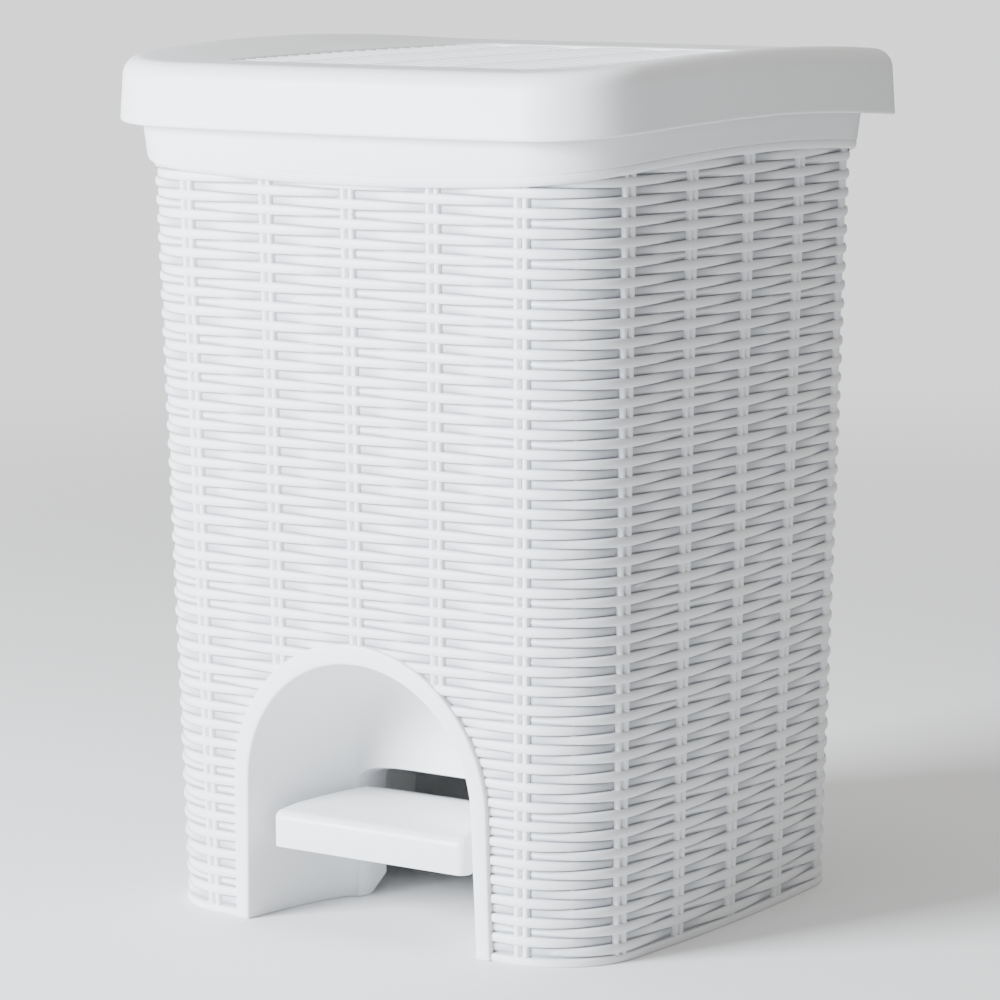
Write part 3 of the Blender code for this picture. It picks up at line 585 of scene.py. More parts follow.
@dataclass(frozen=True)
class PlasticFinish:
    """One moulded plastic: its colour, a darker second colour used for random tone and, in the weave, for
    painted shade in its crevices, and its skin.
    """

    name: str
    colour: tuple[float, float, float]
    shade: tuple[float, float, float]
    roughness: float = 0.42
    amount: float = 0.25
    grain: float = 1500.0
    bump: float = 0.05
    rubbing: float = 0.06
    # How far painted shade darkens a weave's crevices, 0 for none.
    depth_shade: float = 0.0
    specular: float = 0.45

    def build(self, groups: dict[str, bpy.types.NodeTree]) -> bpy.types.Material:
        """Make the material.

        Args:
            groups: The shared node groups by name.

        Returns:
            The material.
        """
        material = bpy.data.materials.new(self.name)
        material.use_nodes = True
        nodes = Nodes(material.node_tree)
        shader = material.node_tree.nodes["Principled BSDF"]
        shader.inputs["Specular IOR Level"].default_value = self.specular
        shader.inputs["IOR"].default_value = MOULDED_IOR
        place = nodes.add("ShaderNodeTexCoord")
        tone = nodes.add("ShaderNodeGroup", node_tree=groups["moulded_tone_and_crevice_shade"])
        tone.inputs["Colour"].default_value = (*self.colour, 1.0)
        tone.inputs["Shade"].default_value = (*self.shade, 1.0)
        tone.inputs["Amount"].default_value = self.amount
        skin = nodes.add("ShaderNodeGroup", node_tree=groups["moulded_skin"])
        skin.inputs["Roughness"].default_value = self.roughness
        skin.inputs["Grain"].default_value = self.grain
        skin.inputs["Rubbing"].default_value = self.rubbing
        bump = nodes.add("ShaderNodeBump", Strength=self.bump, Distance=0.0004)
        nodes.join(place.outputs["Object"], tone.inputs["Vector"])
        nodes.join(place.outputs["Object"], skin.inputs["Vector"])
        nodes.join(tone.outputs["Colour"], shader.inputs["Base Color"])
        nodes.join(skin.outputs["Roughness"], shader.inputs["Roughness"])
        nodes.join(skin.outputs["Height"], bump.inputs["Height"])
        nodes.join(bump.outputs["Normal"], shader.inputs["Normal"])
        # Painted shade: points deep in the weave are darkened towards the shade colour, standing in for the
        # shadow in its crevices.
        if self.depth_shade > 0.0:
            depth = nodes.add("ShaderNodeAttribute", attribute_name="weave_depth")
            painted_crevice_shade = nodes.add("ShaderNodeMapRange", interpolation_type="SMOOTHSTEP", From_Min=0.35,
                               From_Max=1.0, To_Max=self.depth_shade)
            nodes.join(depth.outputs["Fac"], painted_crevice_shade.inputs["Value"])
            nodes.join(painted_crevice_shade.outputs["Result"], tone.inputs["Depth"])
        return material


@dataclass(frozen=True)
class SteelFinish:
    """Zinc-plated steel, drawn along one axis."""

    name: str
    colour: tuple[float, float, float] = (0.72, 0.72, 0.71)
    roughness: float = 0.26
    along: tuple[float, float, float] = (1.0, 1.0, 0.04)

    def build(self, groups: dict[str, bpy.types.NodeTree]) -> bpy.types.Material:
        """Make the material."""
        material = bpy.data.materials.new(self.name)
        material.use_nodes = True
        nodes = Nodes(material.node_tree)
        shader = material.node_tree.nodes["Principled BSDF"]
        shader.inputs["Metallic"].default_value = 1.0
        place = nodes.add("ShaderNodeTexCoord")
        wire = nodes.add("ShaderNodeGroup", node_tree=groups["drawn_steel"])
        wire.inputs["Colour"].default_value = (*self.colour, 1.0)
        wire.inputs["Roughness"].default_value = self.roughness
        wire.inputs["Along"].default_value = self.along
        bump = nodes.add("ShaderNodeBump", Strength=0.06, Distance=0.0002)
        nodes.join(place.outputs["Object"], wire.inputs["Vector"])
        nodes.join(wire.outputs["Colour"], shader.inputs["Base Color"])
        nodes.join(wire.outputs["Roughness"], shader.inputs["Roughness"])
        nodes.join(wire.outputs["Height"], bump.inputs["Height"])
        nodes.join(bump.outputs["Normal"], shader.inputs["Normal"])
        return material


class Finishes:
    """All the finishes of the bin, built once."""

    def __init__(self) -> None:
        """Build the shared groups and the materials."""
        groups = {"moulded_tone_and_crevice_shade": moulded_tone_and_crevice_shade_group(), "moulded_skin": moulded_skin_group(),
                  "drawn_steel": drawn_steel_group()}
        white, shade = (0.86, 0.87, 0.88), (0.78, 0.79, 0.81)
        self.smooth_white = PlasticFinish("smooth_white_plastic", white, shade, 0.40).build(groups)
        # The woven plastic's dark second colour is painted shade for the weave's crevices, with a little
        # random tone.
        self.woven_white = PlasticFinish("woven_white_plastic", white, (0.36, 0.38, 0.42), 0.44, 0.06,
                                         1300.0, 0.06, 0.05, 0.85).build(groups)
        self.pedal_white = PlasticFinish("pedal_white_plastic", white, shade, 0.34, 0.3, 1500.0, 0.04,
                                         0.14).build(groups)
        self.inner_white = PlasticFinish("inner_white_plastic", (0.80, 0.80, 0.78), (0.70, 0.70, 0.68),
                                         0.48).build(groups)
        self.bucket_grey = PlasticFinish("bucket_grey_plastic", (0.50, 0.51, 0.52), (0.40, 0.41, 0.42), 0.46,
                                         0.35, 1200.0, 0.07, 0.10).build(groups)
        self.rod_grey = PlasticFinish("rod_grey_plastic", (0.34, 0.35, 0.36), (0.27, 0.28, 0.29),
                                      0.5).build(groups)
        self.upright_steel = SteelFinish("upright_steel").build(groups)
        self.cross_steel = SteelFinish("cross_steel", along=(0.04, 1.0, 1.0)).build(groups)
        self.screw_steel = SteelFinish("screw_steel", (0.66, 0.65, 0.61), 0.34,
                                       (1.0, 1.0, 1.0)).build(groups)


def dress(thing: bpy.types.Object, material: bpy.types.Material, body: str, slot: str,
          *nodes: str) -> bpy.types.Object:
    """Give a new piece its finish, its body and the nodes that it stands for.

    Args:
        thing: The piece.
        material: Its finish.
        body: The body that it rides on.
        slot: The record's material slot; not used.
        *nodes: CAD nodes that it replaces.

    Returns:
        The piece.
    """
    thing.data.materials.clear()
    thing.data.materials.append(material)
    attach(thing, body)
    if nodes:
        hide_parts(*nodes)
    LOG.info("%s rides on %s", thing.name, body)
    return thing


# ---- weave ---------------------------------------------------------------------------------------------


@dataclass(frozen=True)
class WeavePattern:
    """How strands pass over and behind pairs of stakes.

    Strand n is in front of stake m when their sum is even. Depths are below the strands' crests.
    """

    pitch: float = 4.845 * MM
    first_row: float = 2.5 * MM
    half_over: float = 2.62 * MM
    half_behind: float = 1.86 * MM
    behind_depth: float = 2.2 * MM
    hidden_depth: float = 2.75 * MM
    floor: float = 2.9 * MM
    across: tuple[float, ...] = (-1.0, -0.9, -0.55, 0.0, 0.55, 0.9, 1.0)
    crown: tuple[float, ...] = (1.6 * MM, 0.75 * MM, 0.2 * MM, 0.0, 0.2 * MM, 0.75 * MM, 1.6 * MM)
    between: tuple[float, ...] = (
        0.0, 0.05, 0.088, 0.105, 0.15, 0.24, 0.35, 0.5, 0.65, 0.76, 0.85, 0.895, 0.912, 0.95)
    between_round: tuple[float, ...] = (
        0.0, 0.04, 0.07, 0.085, 0.12, 0.17, 0.22, 0.28, 0.34, 0.4, 0.46, 0.5, 0.54, 0.6, 0.66, 0.72,
        0.78, 0.83, 0.88, 0.915, 0.93, 0.96)
    straight: float = 0.09
    crossing: float = 0.82
    beside: float = 0.1
    tucked: float = 0.05
    flattened: float = 0.4
    swell: float = 0.12 * MM
    swell_turn: tuple[float, float] = (2.3, 1.7)
    rod_half: float = 2.0 * MM
    rod_gap: float = 0.7 * MM
    rod_depth: float = 0.8 * MM

    def front_share(self, row: np.ndarray, place: np.ndarray) -> tuple[np.ndarray, np.ndarray]:
        """How far to the front a strand is at a place.

        Args:
            row: Strand numbers.
            place: Stake numbers with fractions.

        Returns:
            Linear and eased shares, 1 in front of a stake and 0 behind one.
        """
        stake = np.floor(place)
        between = np.clip((place - stake - self.straight) / self.crossing, 0.0, 1.0)
        left = np.mod(row + stake + 1, 2)
        linear = left * (1.0 - between) + (1.0 - left) * between
        return linear, 0.5 - 0.5 * np.cos(math.pi * linear)

    def lines(self, row: int, place: np.ndarray) -> tuple[np.ndarray, np.ndarray]:
        """Heights and depths of one strand's lines.

        Args:
            row: The strand's number.
            place: Stake numbers with fractions.

        Returns:
            Height above the strand's middle and depth, each lines by places.
        """
        linear, eased = self.front_share(np.array(row), place)
        half = self.half_behind + (self.half_over - self.half_behind) * linear
        depth = self.behind_depth * (1.0 - eased)
        beside = np.abs(place - np.round(place)) < self.beside
        depth = np.where(beside & (linear < self.tucked), self.hidden_depth, depth)
        swell = self.swell * np.sin(place * self.swell_turn[0] + row * self.swell_turn[1])
        across = np.array(self.across)[:, None]
        crown = np.array(self.crown)[:, None] * (self.flattened + (1.0 - self.flattened) * eased)
        total = np.minimum(depth[None, :] + crown + np.abs(swell)[None, :], self.floor)
        total = np.where(np.abs(across) > 0.99, self.floor, total)
        return across * half[None, :], total

    def rod_section(self, floor: float) -> tuple[np.ndarray, np.ndarray]:
        """Half-round section of a stake's rod.

        Args:
            floor: Depth of its edges below the crests.

        Returns:
            Places across it from -1 to 1, and their depths.
        """
        across = np.linspace(-1.0, 1.0, ROD_SPANS)
        curve = 1.0 - np.sqrt(np.clip(1.0 - across ** 2, 0.0, 1.0))
        return across, self.rod_depth + (floor - self.rod_depth) * curve

    def places(self, first: float, last: float) -> np.ndarray:
        """Column places between two stake numbers, closer together beside the stakes."""
        every = []
        for stake in range(math.floor(first) - 1, math.ceil(last) + 1):
            shares = self.between_round if stake % STAKES_PER_FACE == STAKES_PER_FACE - 1 else self.between
            every += [stake + share for share in shares]
        inside = [place for place in every if first + 1e-6 < place < last - 1e-6]
        return np.array([first, *inside, last])


def store_depth(thing: bpy.types.Object, depth: Callable[[np.ndarray], np.ndarray]) -> None:
    """Write how deep each point of a woven piece lies, which drives the painted shade in its crevices.

    Args:
        thing: The woven piece.
        depth: Gives the share of the full depth from point coordinates.
    """
    points = np.zeros(len(thing.data.vertices) * 3)
    thing.data.vertices.foreach_get("co", points)
    attribute = thing.data.attributes.new("weave_depth", "FLOAT", "POINT")
    attribute.data.foreach_set("value", depth(points.reshape(-1, 3)).astype(np.float32))


@dataclass
class ArchShape:
    """Outline of the pedal's arch: half width at the floor and at the spring, spring height and rise."""

    foot: float
    spring: float
    height: float
    rise: float

    def half_width(self, z: np.ndarray) -> np.ndarray:
        """Half width at a height, negative above the crown."""
        low = self.foot + (self.spring - self.foot) * np.clip(z / self.height, 0.0, 1.0)
        share = np.clip((z - self.height) / self.rise, 0.0, None)
        return np.where(share <= 1.0, low * np.sqrt(np.clip(1.0 - share ** 2, 0.0, 1.0)), -1.0)

    def crown(self, x: np.ndarray) -> np.ndarray:
        """Height of the arch over a place, negative outside it."""
        share = np.abs(x) / self.spring
        head = self.height + self.rise * np.sqrt(np.clip(1.0 - share ** 2, 0.0, 1.0))
        return np.where(share < 1.0, head, -1.0)

    def chain(self, depth: Height, floor: float, power: float = 2.0, jamb: int = 10,
              crown: int = 48) -> Ring:
        """Open chain from the floor, over the arch and down again.

        Args:
            depth: Gives y from x and z.
            floor: Height of both ends.
            power: 2 for a round head, more for a squarer one.
            jamb: Spans on each upright.
            crown: Spans over the head.

        Returns:
            Array of points by 3.
        """
        share = np.linspace(0.0, 1.0, jamb, endpoint=False)
        up_x = -(self.foot + (self.spring - self.foot) * share)
        up_z = floor + (self.height - floor) * share
        t = np.linspace(0.0, math.pi, crown + 1)
        c, s = np.cos(t), np.clip(np.sin(t), 0.0, 1.0)
        head_x = -self.spring * np.sign(c) * np.abs(c) ** (2.0 / power)
        head_z = self.height + self.rise * s ** (2.0 / power)
        x = np.concatenate([up_x, head_x, -up_x[::-1]])
        z = np.concatenate([up_z, head_z, up_z[::-1]])
        return np.column_stack([x, depth(x, z), z])


ARCH_OUTER = ArchShape(79.3 * MM, 78.4 * MM, 72.0 * MM, 79.0 * MM)
ARCH_INNER = ArchShape(71.0 * MM, 69.0 * MM, 72.0 * MM, 68.6 * MM)


def front_face(x: np.ndarray, z: np.ndarray) -> np.ndarray:
    """Depth of the weave's crests on the front."""
    half_depth = CASING.bottom[1] + (CASING.top[1] - CASING.bottom[1]) * z / CASING.growth_height
    return CASING.centre_y - half_depth + x * x / (2.0 * CASING.front_bulge)


@dataclass
class WovenCasing:
    """The casing: woven faces, stakes, a smooth foot band and a plain wall behind them."""

    finishes: Finishes
    pattern: WeavePattern = field(default_factory=WeavePattern)
    top: float = 396.0 * MM
    band_top: float = 4.1 * MM
    trim: ArchShape = field(default_factory=lambda: ArchShape(77.6 * MM, 76.7 * MM, 72.0 * MM, 77.3 * MM))

    def place(self, stations: tuple[np.ndarray, np.ndarray, np.ndarray], z: np.ndarray,
              depth: np.ndarray) -> np.ndarray:
        """Points on the casing.

        Args:
            stations: Low points, high points and outward directions of the columns.
            z: Heights, rows by columns.
            depth: Depths below the crests, rows by columns.

        Returns:
            Array of rows by columns by 3.
        """
        low, high, out = stations
        share = (z / CASING.growth_height)[:, :, None]
        flat = low[None] + (high - low)[None] * share - out[None] * depth[:, :, None]
        return np.concatenate([flat, z[:, :, None]], axis=2)

    def face(self, name: str, first: float, last: float) -> bpy.types.Object:
        """One woven side, from the middle of a corner to the middle of the next.

        Args:
            name: The piece's name.
            first: Stake place where it starts.
            last: Stake place where it ends.

        Returns:
            The woven sheet.
        """
        pattern = self.pattern
        places = pattern.places(first, last)
        stations = CASING.stations(np.mod(places, float(STAKES_ROUND)))
        heights = [np.full(len(places), self.band_top - 0.3 * MM)]
        depths = [np.full(len(places), pattern.floor)]
        row = 1
        while pattern.first_row + row * pattern.pitch < self.top + 2.0 * MM:
            z, depth = pattern.lines(row, places)
            heights += list(z + pattern.first_row + row * pattern.pitch)
            depths += list(depth)
            row += 1
        points = self.place(stations, np.array(heights), np.array(depths))
        bm = grid_surface(points, facing=Facing.OUTWARD)
        if first < 2.0 < last:
            self.clear_arch(bm)
        piece = to_piece(bm, name, 70.0)
        self.shade(piece, points.reshape(-1, 3), np.array(depths).reshape(-1) / pattern.floor)
        return piece

    def shade(self, piece: bpy.types.Object, known: np.ndarray, depth: np.ndarray) -> None:
        """Store each point's depth, looked up by its height and heading round the casing, for the painted
        shade in the weave's crevices.
        """
        keys = {tuple(k): d for k, d in zip(np.round(known * 1e5).astype(np.int64), depth)}

        def look(points: np.ndarray) -> np.ndarray:
            """Depth of each point, or a middling one for a trimmed point."""
            return np.array([keys.get(tuple(k), 0.3) for k in np.round(points * 1e5).astype(np.int64)])

        store_depth(piece, look)

    def clear_arch(self, bm: bmesh.types.BMesh) -> None:
        """Take the weave out of the pedal's arch and draw its edge up to the arch's frame."""
        inside = {}
        for vert in bm.verts:
            x, z = vert.co.x, vert.co.z
            across = float(self.trim.half_width(np.array(z))) - abs(x)
            above = float(self.trim.crown(np.array(x))) - z
            if across > 0.0 and above > 0.0:
                inside[vert] = (across, above)
        gone = [face for face in bm.faces if all(vert in inside for vert in face.verts)]
        bmesh.ops.delete(bm, geom=gone, context="FACES")
        for vert, (across, above) in inside.items():
            if not vert.is_valid:
                continue
            if across < above:
                vert.co.x += math.copysign(across, vert.co.x)
            else:
                vert.co.z += above

    def stakes(self, first: int, name: str) -> bpy.types.Object:
        """Pairs of upright half-round rods of one face, joined into one piece.

        Args:
            first: First stake's number.
            name: The piece's name.

        Returns:
            The rods.
        """
        pattern = self.pattern
        whole = bmesh.new()
        across, sink = pattern.rod_section(pattern.floor + 0.1 * MM)
        for stake in range(first, first + STAKES_PER_FACE):
            low, high, out = (part[0] for part in CASING.stations(np.array([float(stake % STAKES_ROUND)])))
            side = np.array([-out[1], out[0]])
            for way in (-1.0, 1.0):
                middle = way * (pattern.rod_half + pattern.rod_gap / 2.0)
                ends = np.array([self.rod_foot(low, stake), self.top])
                z = np.linspace(ends[0], ends[1], ROD_SPANS)
                centre = low[None] + (high - low)[None] * (z / CASING.growth_height)[:, None]
                shift = (middle + across * pattern.rod_half)[None, :, None] * side[None, None]
                flat = centre[:, None] + shift - sink[None, :, None] * out[None, None]
                rod = np.concatenate([flat, np.repeat(z[:, None, None], ROD_SPANS, axis=1)], axis=2)
                gather(whole, grid_surface(rod, facing=Facing.OUTWARD))
        return to_piece(whole, name, 80.0)

    def rod_foot(self, low: np.ndarray, stake: int) -> float:
        """Height where a stake starts: at the foot band, or at the frame of the arch."""
        if 0 < stake % STAKES_ROUND < STAKES_PER_FACE - 1:
            return float(ARCH_OUTER.crown(np.array(low[0] * 1.03))) - 3.0 * MM
        return self.band_top - 0.5 * MM

    def arch_tool(self, grow: float) -> bmesh.types.BMesh:
        """Closed block of the arch's shape, to cut the front."""
        arch = ArchShape(ARCH_OUTER.foot + grow, ARCH_OUTER.spring + grow, ARCH_OUTER.height,
                         ARCH_OUTER.rise + grow)
        depth = CASING.centre_y
        chains = [arch.chain(lambda x, z, y=y: np.full_like(x, depth + y), -2.0 * MM)
                  for y in (-150.0 * MM, -115.0 * MM)]
        return capped(chains)

    def band(self) -> bpy.types.Object:
        """Smooth band along the foot."""
        profile = rounded_profile([(-3.2 * MM, 0.0, 0.0), (-0.1 * MM, 0.0, 1.0 * MM),
                                   (-0.1 * MM, 4.0 * MM, 1.2 * MM), (-3.2 * MM, self.band_top, 0.0)], 5)
        rings = [CASING.ring(z, offset) for offset, z in profile]
        band = to_piece(grid_surface(np.array(rings + rings[:1]), loop=True), "foot_band")
        return cut(band, [self.arch_tool(-1.0 * MM)])

    def wall(self) -> bpy.types.Object:
        """Plain wall behind the weave, with the ledge that carries the tray."""
        profile = [(-3.02, 0.3), (-3.02, 395.5), (-3.22, 395.5), (-3.22, 65.5), (-5.9, 65.5), (-5.9, 63.2),
                   (-3.22, 59.2), (-3.22, 0.3)]
        rings = [CASING.ring(z * MM, offset * MM) for offset, z in profile]
        wall = to_piece(grid_surface(np.array(rings + rings[:1]), loop=True), "casing_wall")
        return cut(wall, [self.arch_tool(0.0)])

    def build(self) -> None:
        """Build and dress the whole casing."""
        sides = ("front", "right", "back", "left")
        for index, side in enumerate(sides):
            first = index * STAKES_PER_FACE - 0.5
            face = self.face(f"weave_{side}", first, first + STAKES_PER_FACE)
            dress(face, self.finishes.woven_white, "casing", "white_plastic", "body_shell")
        plain = [self.stakes(index * STAKES_PER_FACE, f"stakes_{side}") for index, side in enumerate(sides)]
        for piece in (*plain, self.band(), self.wall()):
            dress(piece, self.finishes.smooth_white, "casing", "white_plastic", "body_shell")


# ---- niche ---------------------------------------------------------------------------------------------


@dataclass
class PedalNiche:
    """Arched frame with a smooth scoop behind it and the tunnel that the pedal passes through."""

    finishes: Finishes
    skin: float = 2.2 * MM
    proud: float = 1.2 * MM
    back: float = -62.0 * MM
    flange: float = -40.0 * MM
    floor: float = 0.3 * MM
    scoop_start: float = -129.5 * MM
    scoop_half: tuple[float, float] = (70.7 * MM, 69.0 * MM)
    scoop_narrowing: float = 18.7 * MM
    scoop_crown: tuple[float, float] = (140.6 * MM, 68.6 * MM)
    scoop_spring: tuple[float, float] = (72.0 * MM, 18.0 * MM)
    tunnel_middle: float = 30.0 * MM
    tunnel: tuple[tuple[float, float], ...] = (
        (0.6 * MM, 0.15 * MM), (1.6 * MM, 0.6 * MM), (3.2 * MM, 1.3 * MM), (5.5 * MM, 1.9 * MM),
        (9.0 * MM, 2.2 * MM), (21.7 * MM, 2.2 * MM))

    def frame_rings(self) -> list[Ring]:
        """Rings of the flat frame, rounded on both its edges."""
        def at(share: float, lift: float) -> Ring:
            """Ring between the outer and inner outline, lifted off the weave."""
            parts = [a + (b - a) * share for a, b in zip(
                (ARCH_OUTER.foot, ARCH_OUTER.spring, ARCH_OUTER.height, ARCH_OUTER.rise),
                (ARCH_INNER.foot, ARCH_INNER.spring, ARCH_INNER.height, ARCH_INNER.rise))]
            return ArchShape(*parts).chain(lambda x, z: front_face(x, z) - lift, self.floor)

        outer = [(0.0, -2.4 * MM), (0.0, 0.2 * MM), (0.02, 0.7 * MM), (0.07, 1.05 * MM), (0.15, self.proud)]
        inner = [(0.5, self.proud), (0.82, self.proud), (0.91, 1.05 * MM), (0.97, 0.65 * MM), (1.0, 0.0)]
        return [at(share, lift) for share, lift in outer + inner]

    def scoop_rings(self, steps: int = 22) -> list[Ring]:
        """Rings of the scoop, from behind the frame to the wall at its back."""
        rings = []
        for index in range(1, steps + 1):
            share = index / steps
            y = self.scoop_start + (self.back - self.scoop_start) * math.sin(share * math.pi / 2.0)
            narrow = self.scoop_narrowing * share ** 1.3
            drop = 1.0 - math.sqrt(max(0.0, 1.0 - share ** 2))
            crown = self.scoop_crown[0] - self.scoop_crown[1] * (0.25 * share + 0.75 * drop)
            height = self.scoop_spring[0] - self.scoop_spring[1] * share ** 2
            arch = ArchShape(self.scoop_half[0] - narrow, self.scoop_half[1] - narrow * 0.93, height,
                             crown - height)
            depth = y + CASING.centre_y
            rings.append(arch.chain(lambda x, z: np.full_like(x, depth), self.floor, 2.0 + 2.4 * share ** 3))
        return rings

    def tunnel_rings(self, mouth: Ring) -> list[Ring]:
        """Rounded lip and the tunnel walls that run back from it."""
        rings = []
        centre = np.array([0.0, 0.0, self.tunnel_middle])
        for back, pinch in self.tunnel:
            ring = mouth.copy()
            away = ring - centre
            away[:, 1] = 0.0
            away[:, 2] = np.clip(away[:, 2], 0.0, None)
            away /= np.linalg.norm(away, axis=1, keepdims=True)
            ring -= away * pinch
            ring[:, 1] = mouth[:, 1] + back
            rise = np.clip((back - 8.0 * MM) * 0.7, 0.0, 9.0 * MM)
            ring[:, 2] = np.maximum(ring[:, 2], self.floor + rise)
            rings.append(ring)
        return rings

    def build(self) -> None:
        """Build and dress the niche."""
        rings = self.frame_rings() + self.scoop_rings()
        rings += self.tunnel_rings(rings[-1])
        bm = grid_surface(np.array(rings), facing=Facing.UP)
        bm.normal_update()
        front = [face for face in bm.faces
                 if abs(face.normal.y) > 0.95 and face.calc_center_median().y < -0.12]
        if sum(face.normal.y for face in front) > 0.0:
            bmesh.ops.reverse_faces(bm, faces=bm.faces)
        niche = to_piece(bm, "arched_niche", 50.0)
        wall = niche.modifiers.new("wall", "SOLIDIFY")
        wall.thickness = self.skin
        wall.offset = -1.0
        wall.use_even_offset = True
        bake_modifiers(niche)
        niche.data.shade_smooth()
        niche.data.set_sharp_from_angle(angle=math.radians(50.0))
        dress(niche, self.finishes.smooth_white, "casing", "white_plastic", "pedal_niche")


# ---- collar --------------------------------------------------------------------------------------------


@dataclass
class TopCollar:
    """Smooth band with a rolled, wavy lower edge, a bucket ledge and hinge ears."""

    finishes: Finishes
    low: float = 386.5 * MM
    wave: float = 6.5 * MM
    wave_fade: float = 26.0
    ear_spans: tuple[tuple[float, float], ...] = ((38.0 * MM, 41.0 * MM), (52.0 * MM, 55.0 * MM))
    ear_radius: float = 5.5 * MM
    ear_root: tuple[float, float] = (7.5 * MM, -8.5 * MM)
    ear_face: float = 3.6 * MM
    pin_hole: float = 2.15 * MM
    pin_reach: float = 80.0 * MM

    def build(self) -> None:
        """Build and dress the collar and its ears."""
        outside = [(0.25, 0.2), (0.9, 0.0), (1.9, 0.45), (2.6, 1.3), (2.95, 2.5), (3.0, 3.9), (2.98, 4.25),
                   (2.6, 4.5), (2.6, 4.75), (3.1, 5.0), (3.25, 5.6), (3.4, 8.0), (3.8, 12.0), (4.3, 17.0),
                   (4.5, 22.0), (4.5, 30.0)]
        waves = [self.wave * (1.0 - min(1.0, up / self.wave_fade) ** 2) for _, up in outside]
        rings = [CASING.ring(self.low + up * MM, offset * MM, wave)
                 for (offset, up), wave in zip(outside, waves)]
        inside = rounded_profile([(4.5, 30.2, 0.0), (4.5, 31.5, 1.0), (1.5, 31.5, 1.0), (1.5, 12.1, 0.8),
                                  (-2.5, 12.1, 0.7), (-2.5, 9.9, 0.0), (0.3, 9.9, 0.0)], 3)
        rings += [CASING.ring(self.low + up * MM, offset * MM) for offset, up in inside]
        rings += [CASING.ring(self.low + 0.9 * MM, 0.25 * MM, self.wave)]
        collar = to_piece(grid_surface(np.array(rings + rings[:1]), loop=True), "collar_band")
        dress(collar, self.finishes.smooth_white, "casing", "white_plastic", "top_collar")
        dress(self.ears(), self.finishes.smooth_white, "casing", "white_plastic", "top_collar")

    def ears(self) -> bpy.types.Object:
        """Hinge ears on the back of the band, with their pin holes."""
        _, y, z = joint_place("lid_hinge")
        face = CASING.centre_y + CASING.half(z, self.ear_face)[1]
        angles = np.radians(np.linspace(-90.0, 90.0, 17))
        outline = [(y + self.ear_radius * math.cos(a), z + self.ear_radius * math.sin(a)) for a in angles]
        outline += [(face, z + rise) for rise in self.ear_root]
        whole = bmesh.new()
        for inner, outer in self.ear_spans:
            for side in (-1.0, 1.0):
                verts = [whole.verts.new((side * inner, v, w)) for v, w in outline]
                base = whole.faces.new(verts)
                made = bmesh.ops.extrude_face_region(whole, geom=[base], use_keep_orig=True)["geom"]
                moved = [v for v in made if isinstance(v, bmesh.types.BMVert)]
                bmesh.ops.translate(whole, verts=moved, vec=(side * (outer - inner), 0.0, 0.0))
        bmesh.ops.recalc_face_normals(whole, faces=whole.faces)
        ears = to_piece(whole, "collar_ears")
        cut(ears, [cylinder((-self.pin_reach, y, z), (self.pin_reach, y, z), self.pin_hole)])
        return soften(ears, 0.5 * MM)


def soften(piece: bpy.types.Object, width: float, segments: int = 2) -> bpy.types.Object:
    """Round a piece's sharp edges.

    Args:
        piece: The piece.
        width: The rounding's width.
        segments: Spans in the rounding.

    Returns:
        The same piece.
    """
    bevel = piece.modifiers.new("softened", "BEVEL")
    bevel.width = width
    bevel.segments = segments
    bevel.limit_method = "ANGLE"
    bevel.angle_limit = math.radians(40.0)
    bevel.harden_normals = False
    bake_modifiers(piece)
    piece.data.shade_smooth()
    piece.data.set_sharp_from_angle(angle=math.radians(45.0))
    return piece


def softened_copy(node: str, name: str, width: float) -> bpy.types.Object:
    """Copy of a CAD node with its edges rounded.

    Args:
        node: The CAD node.
        name: The new piece's name.
        width: The rounding's width.

    Returns:
        The copy.
    """
    bm = bmesh.new()
    bm.from_mesh(frame["nodes"][node].data)
    bmesh.ops.remove_doubles(bm, verts=bm.verts, dist=1e-6)
    bmesh.ops.dissolve_limit(bm, angle_limit=math.radians(1.0), verts=bm.verts, edges=bm.edges)
    return soften(to_piece(bm, name), width)


# ---- lid -----------------------------------------------------------------------------------------------


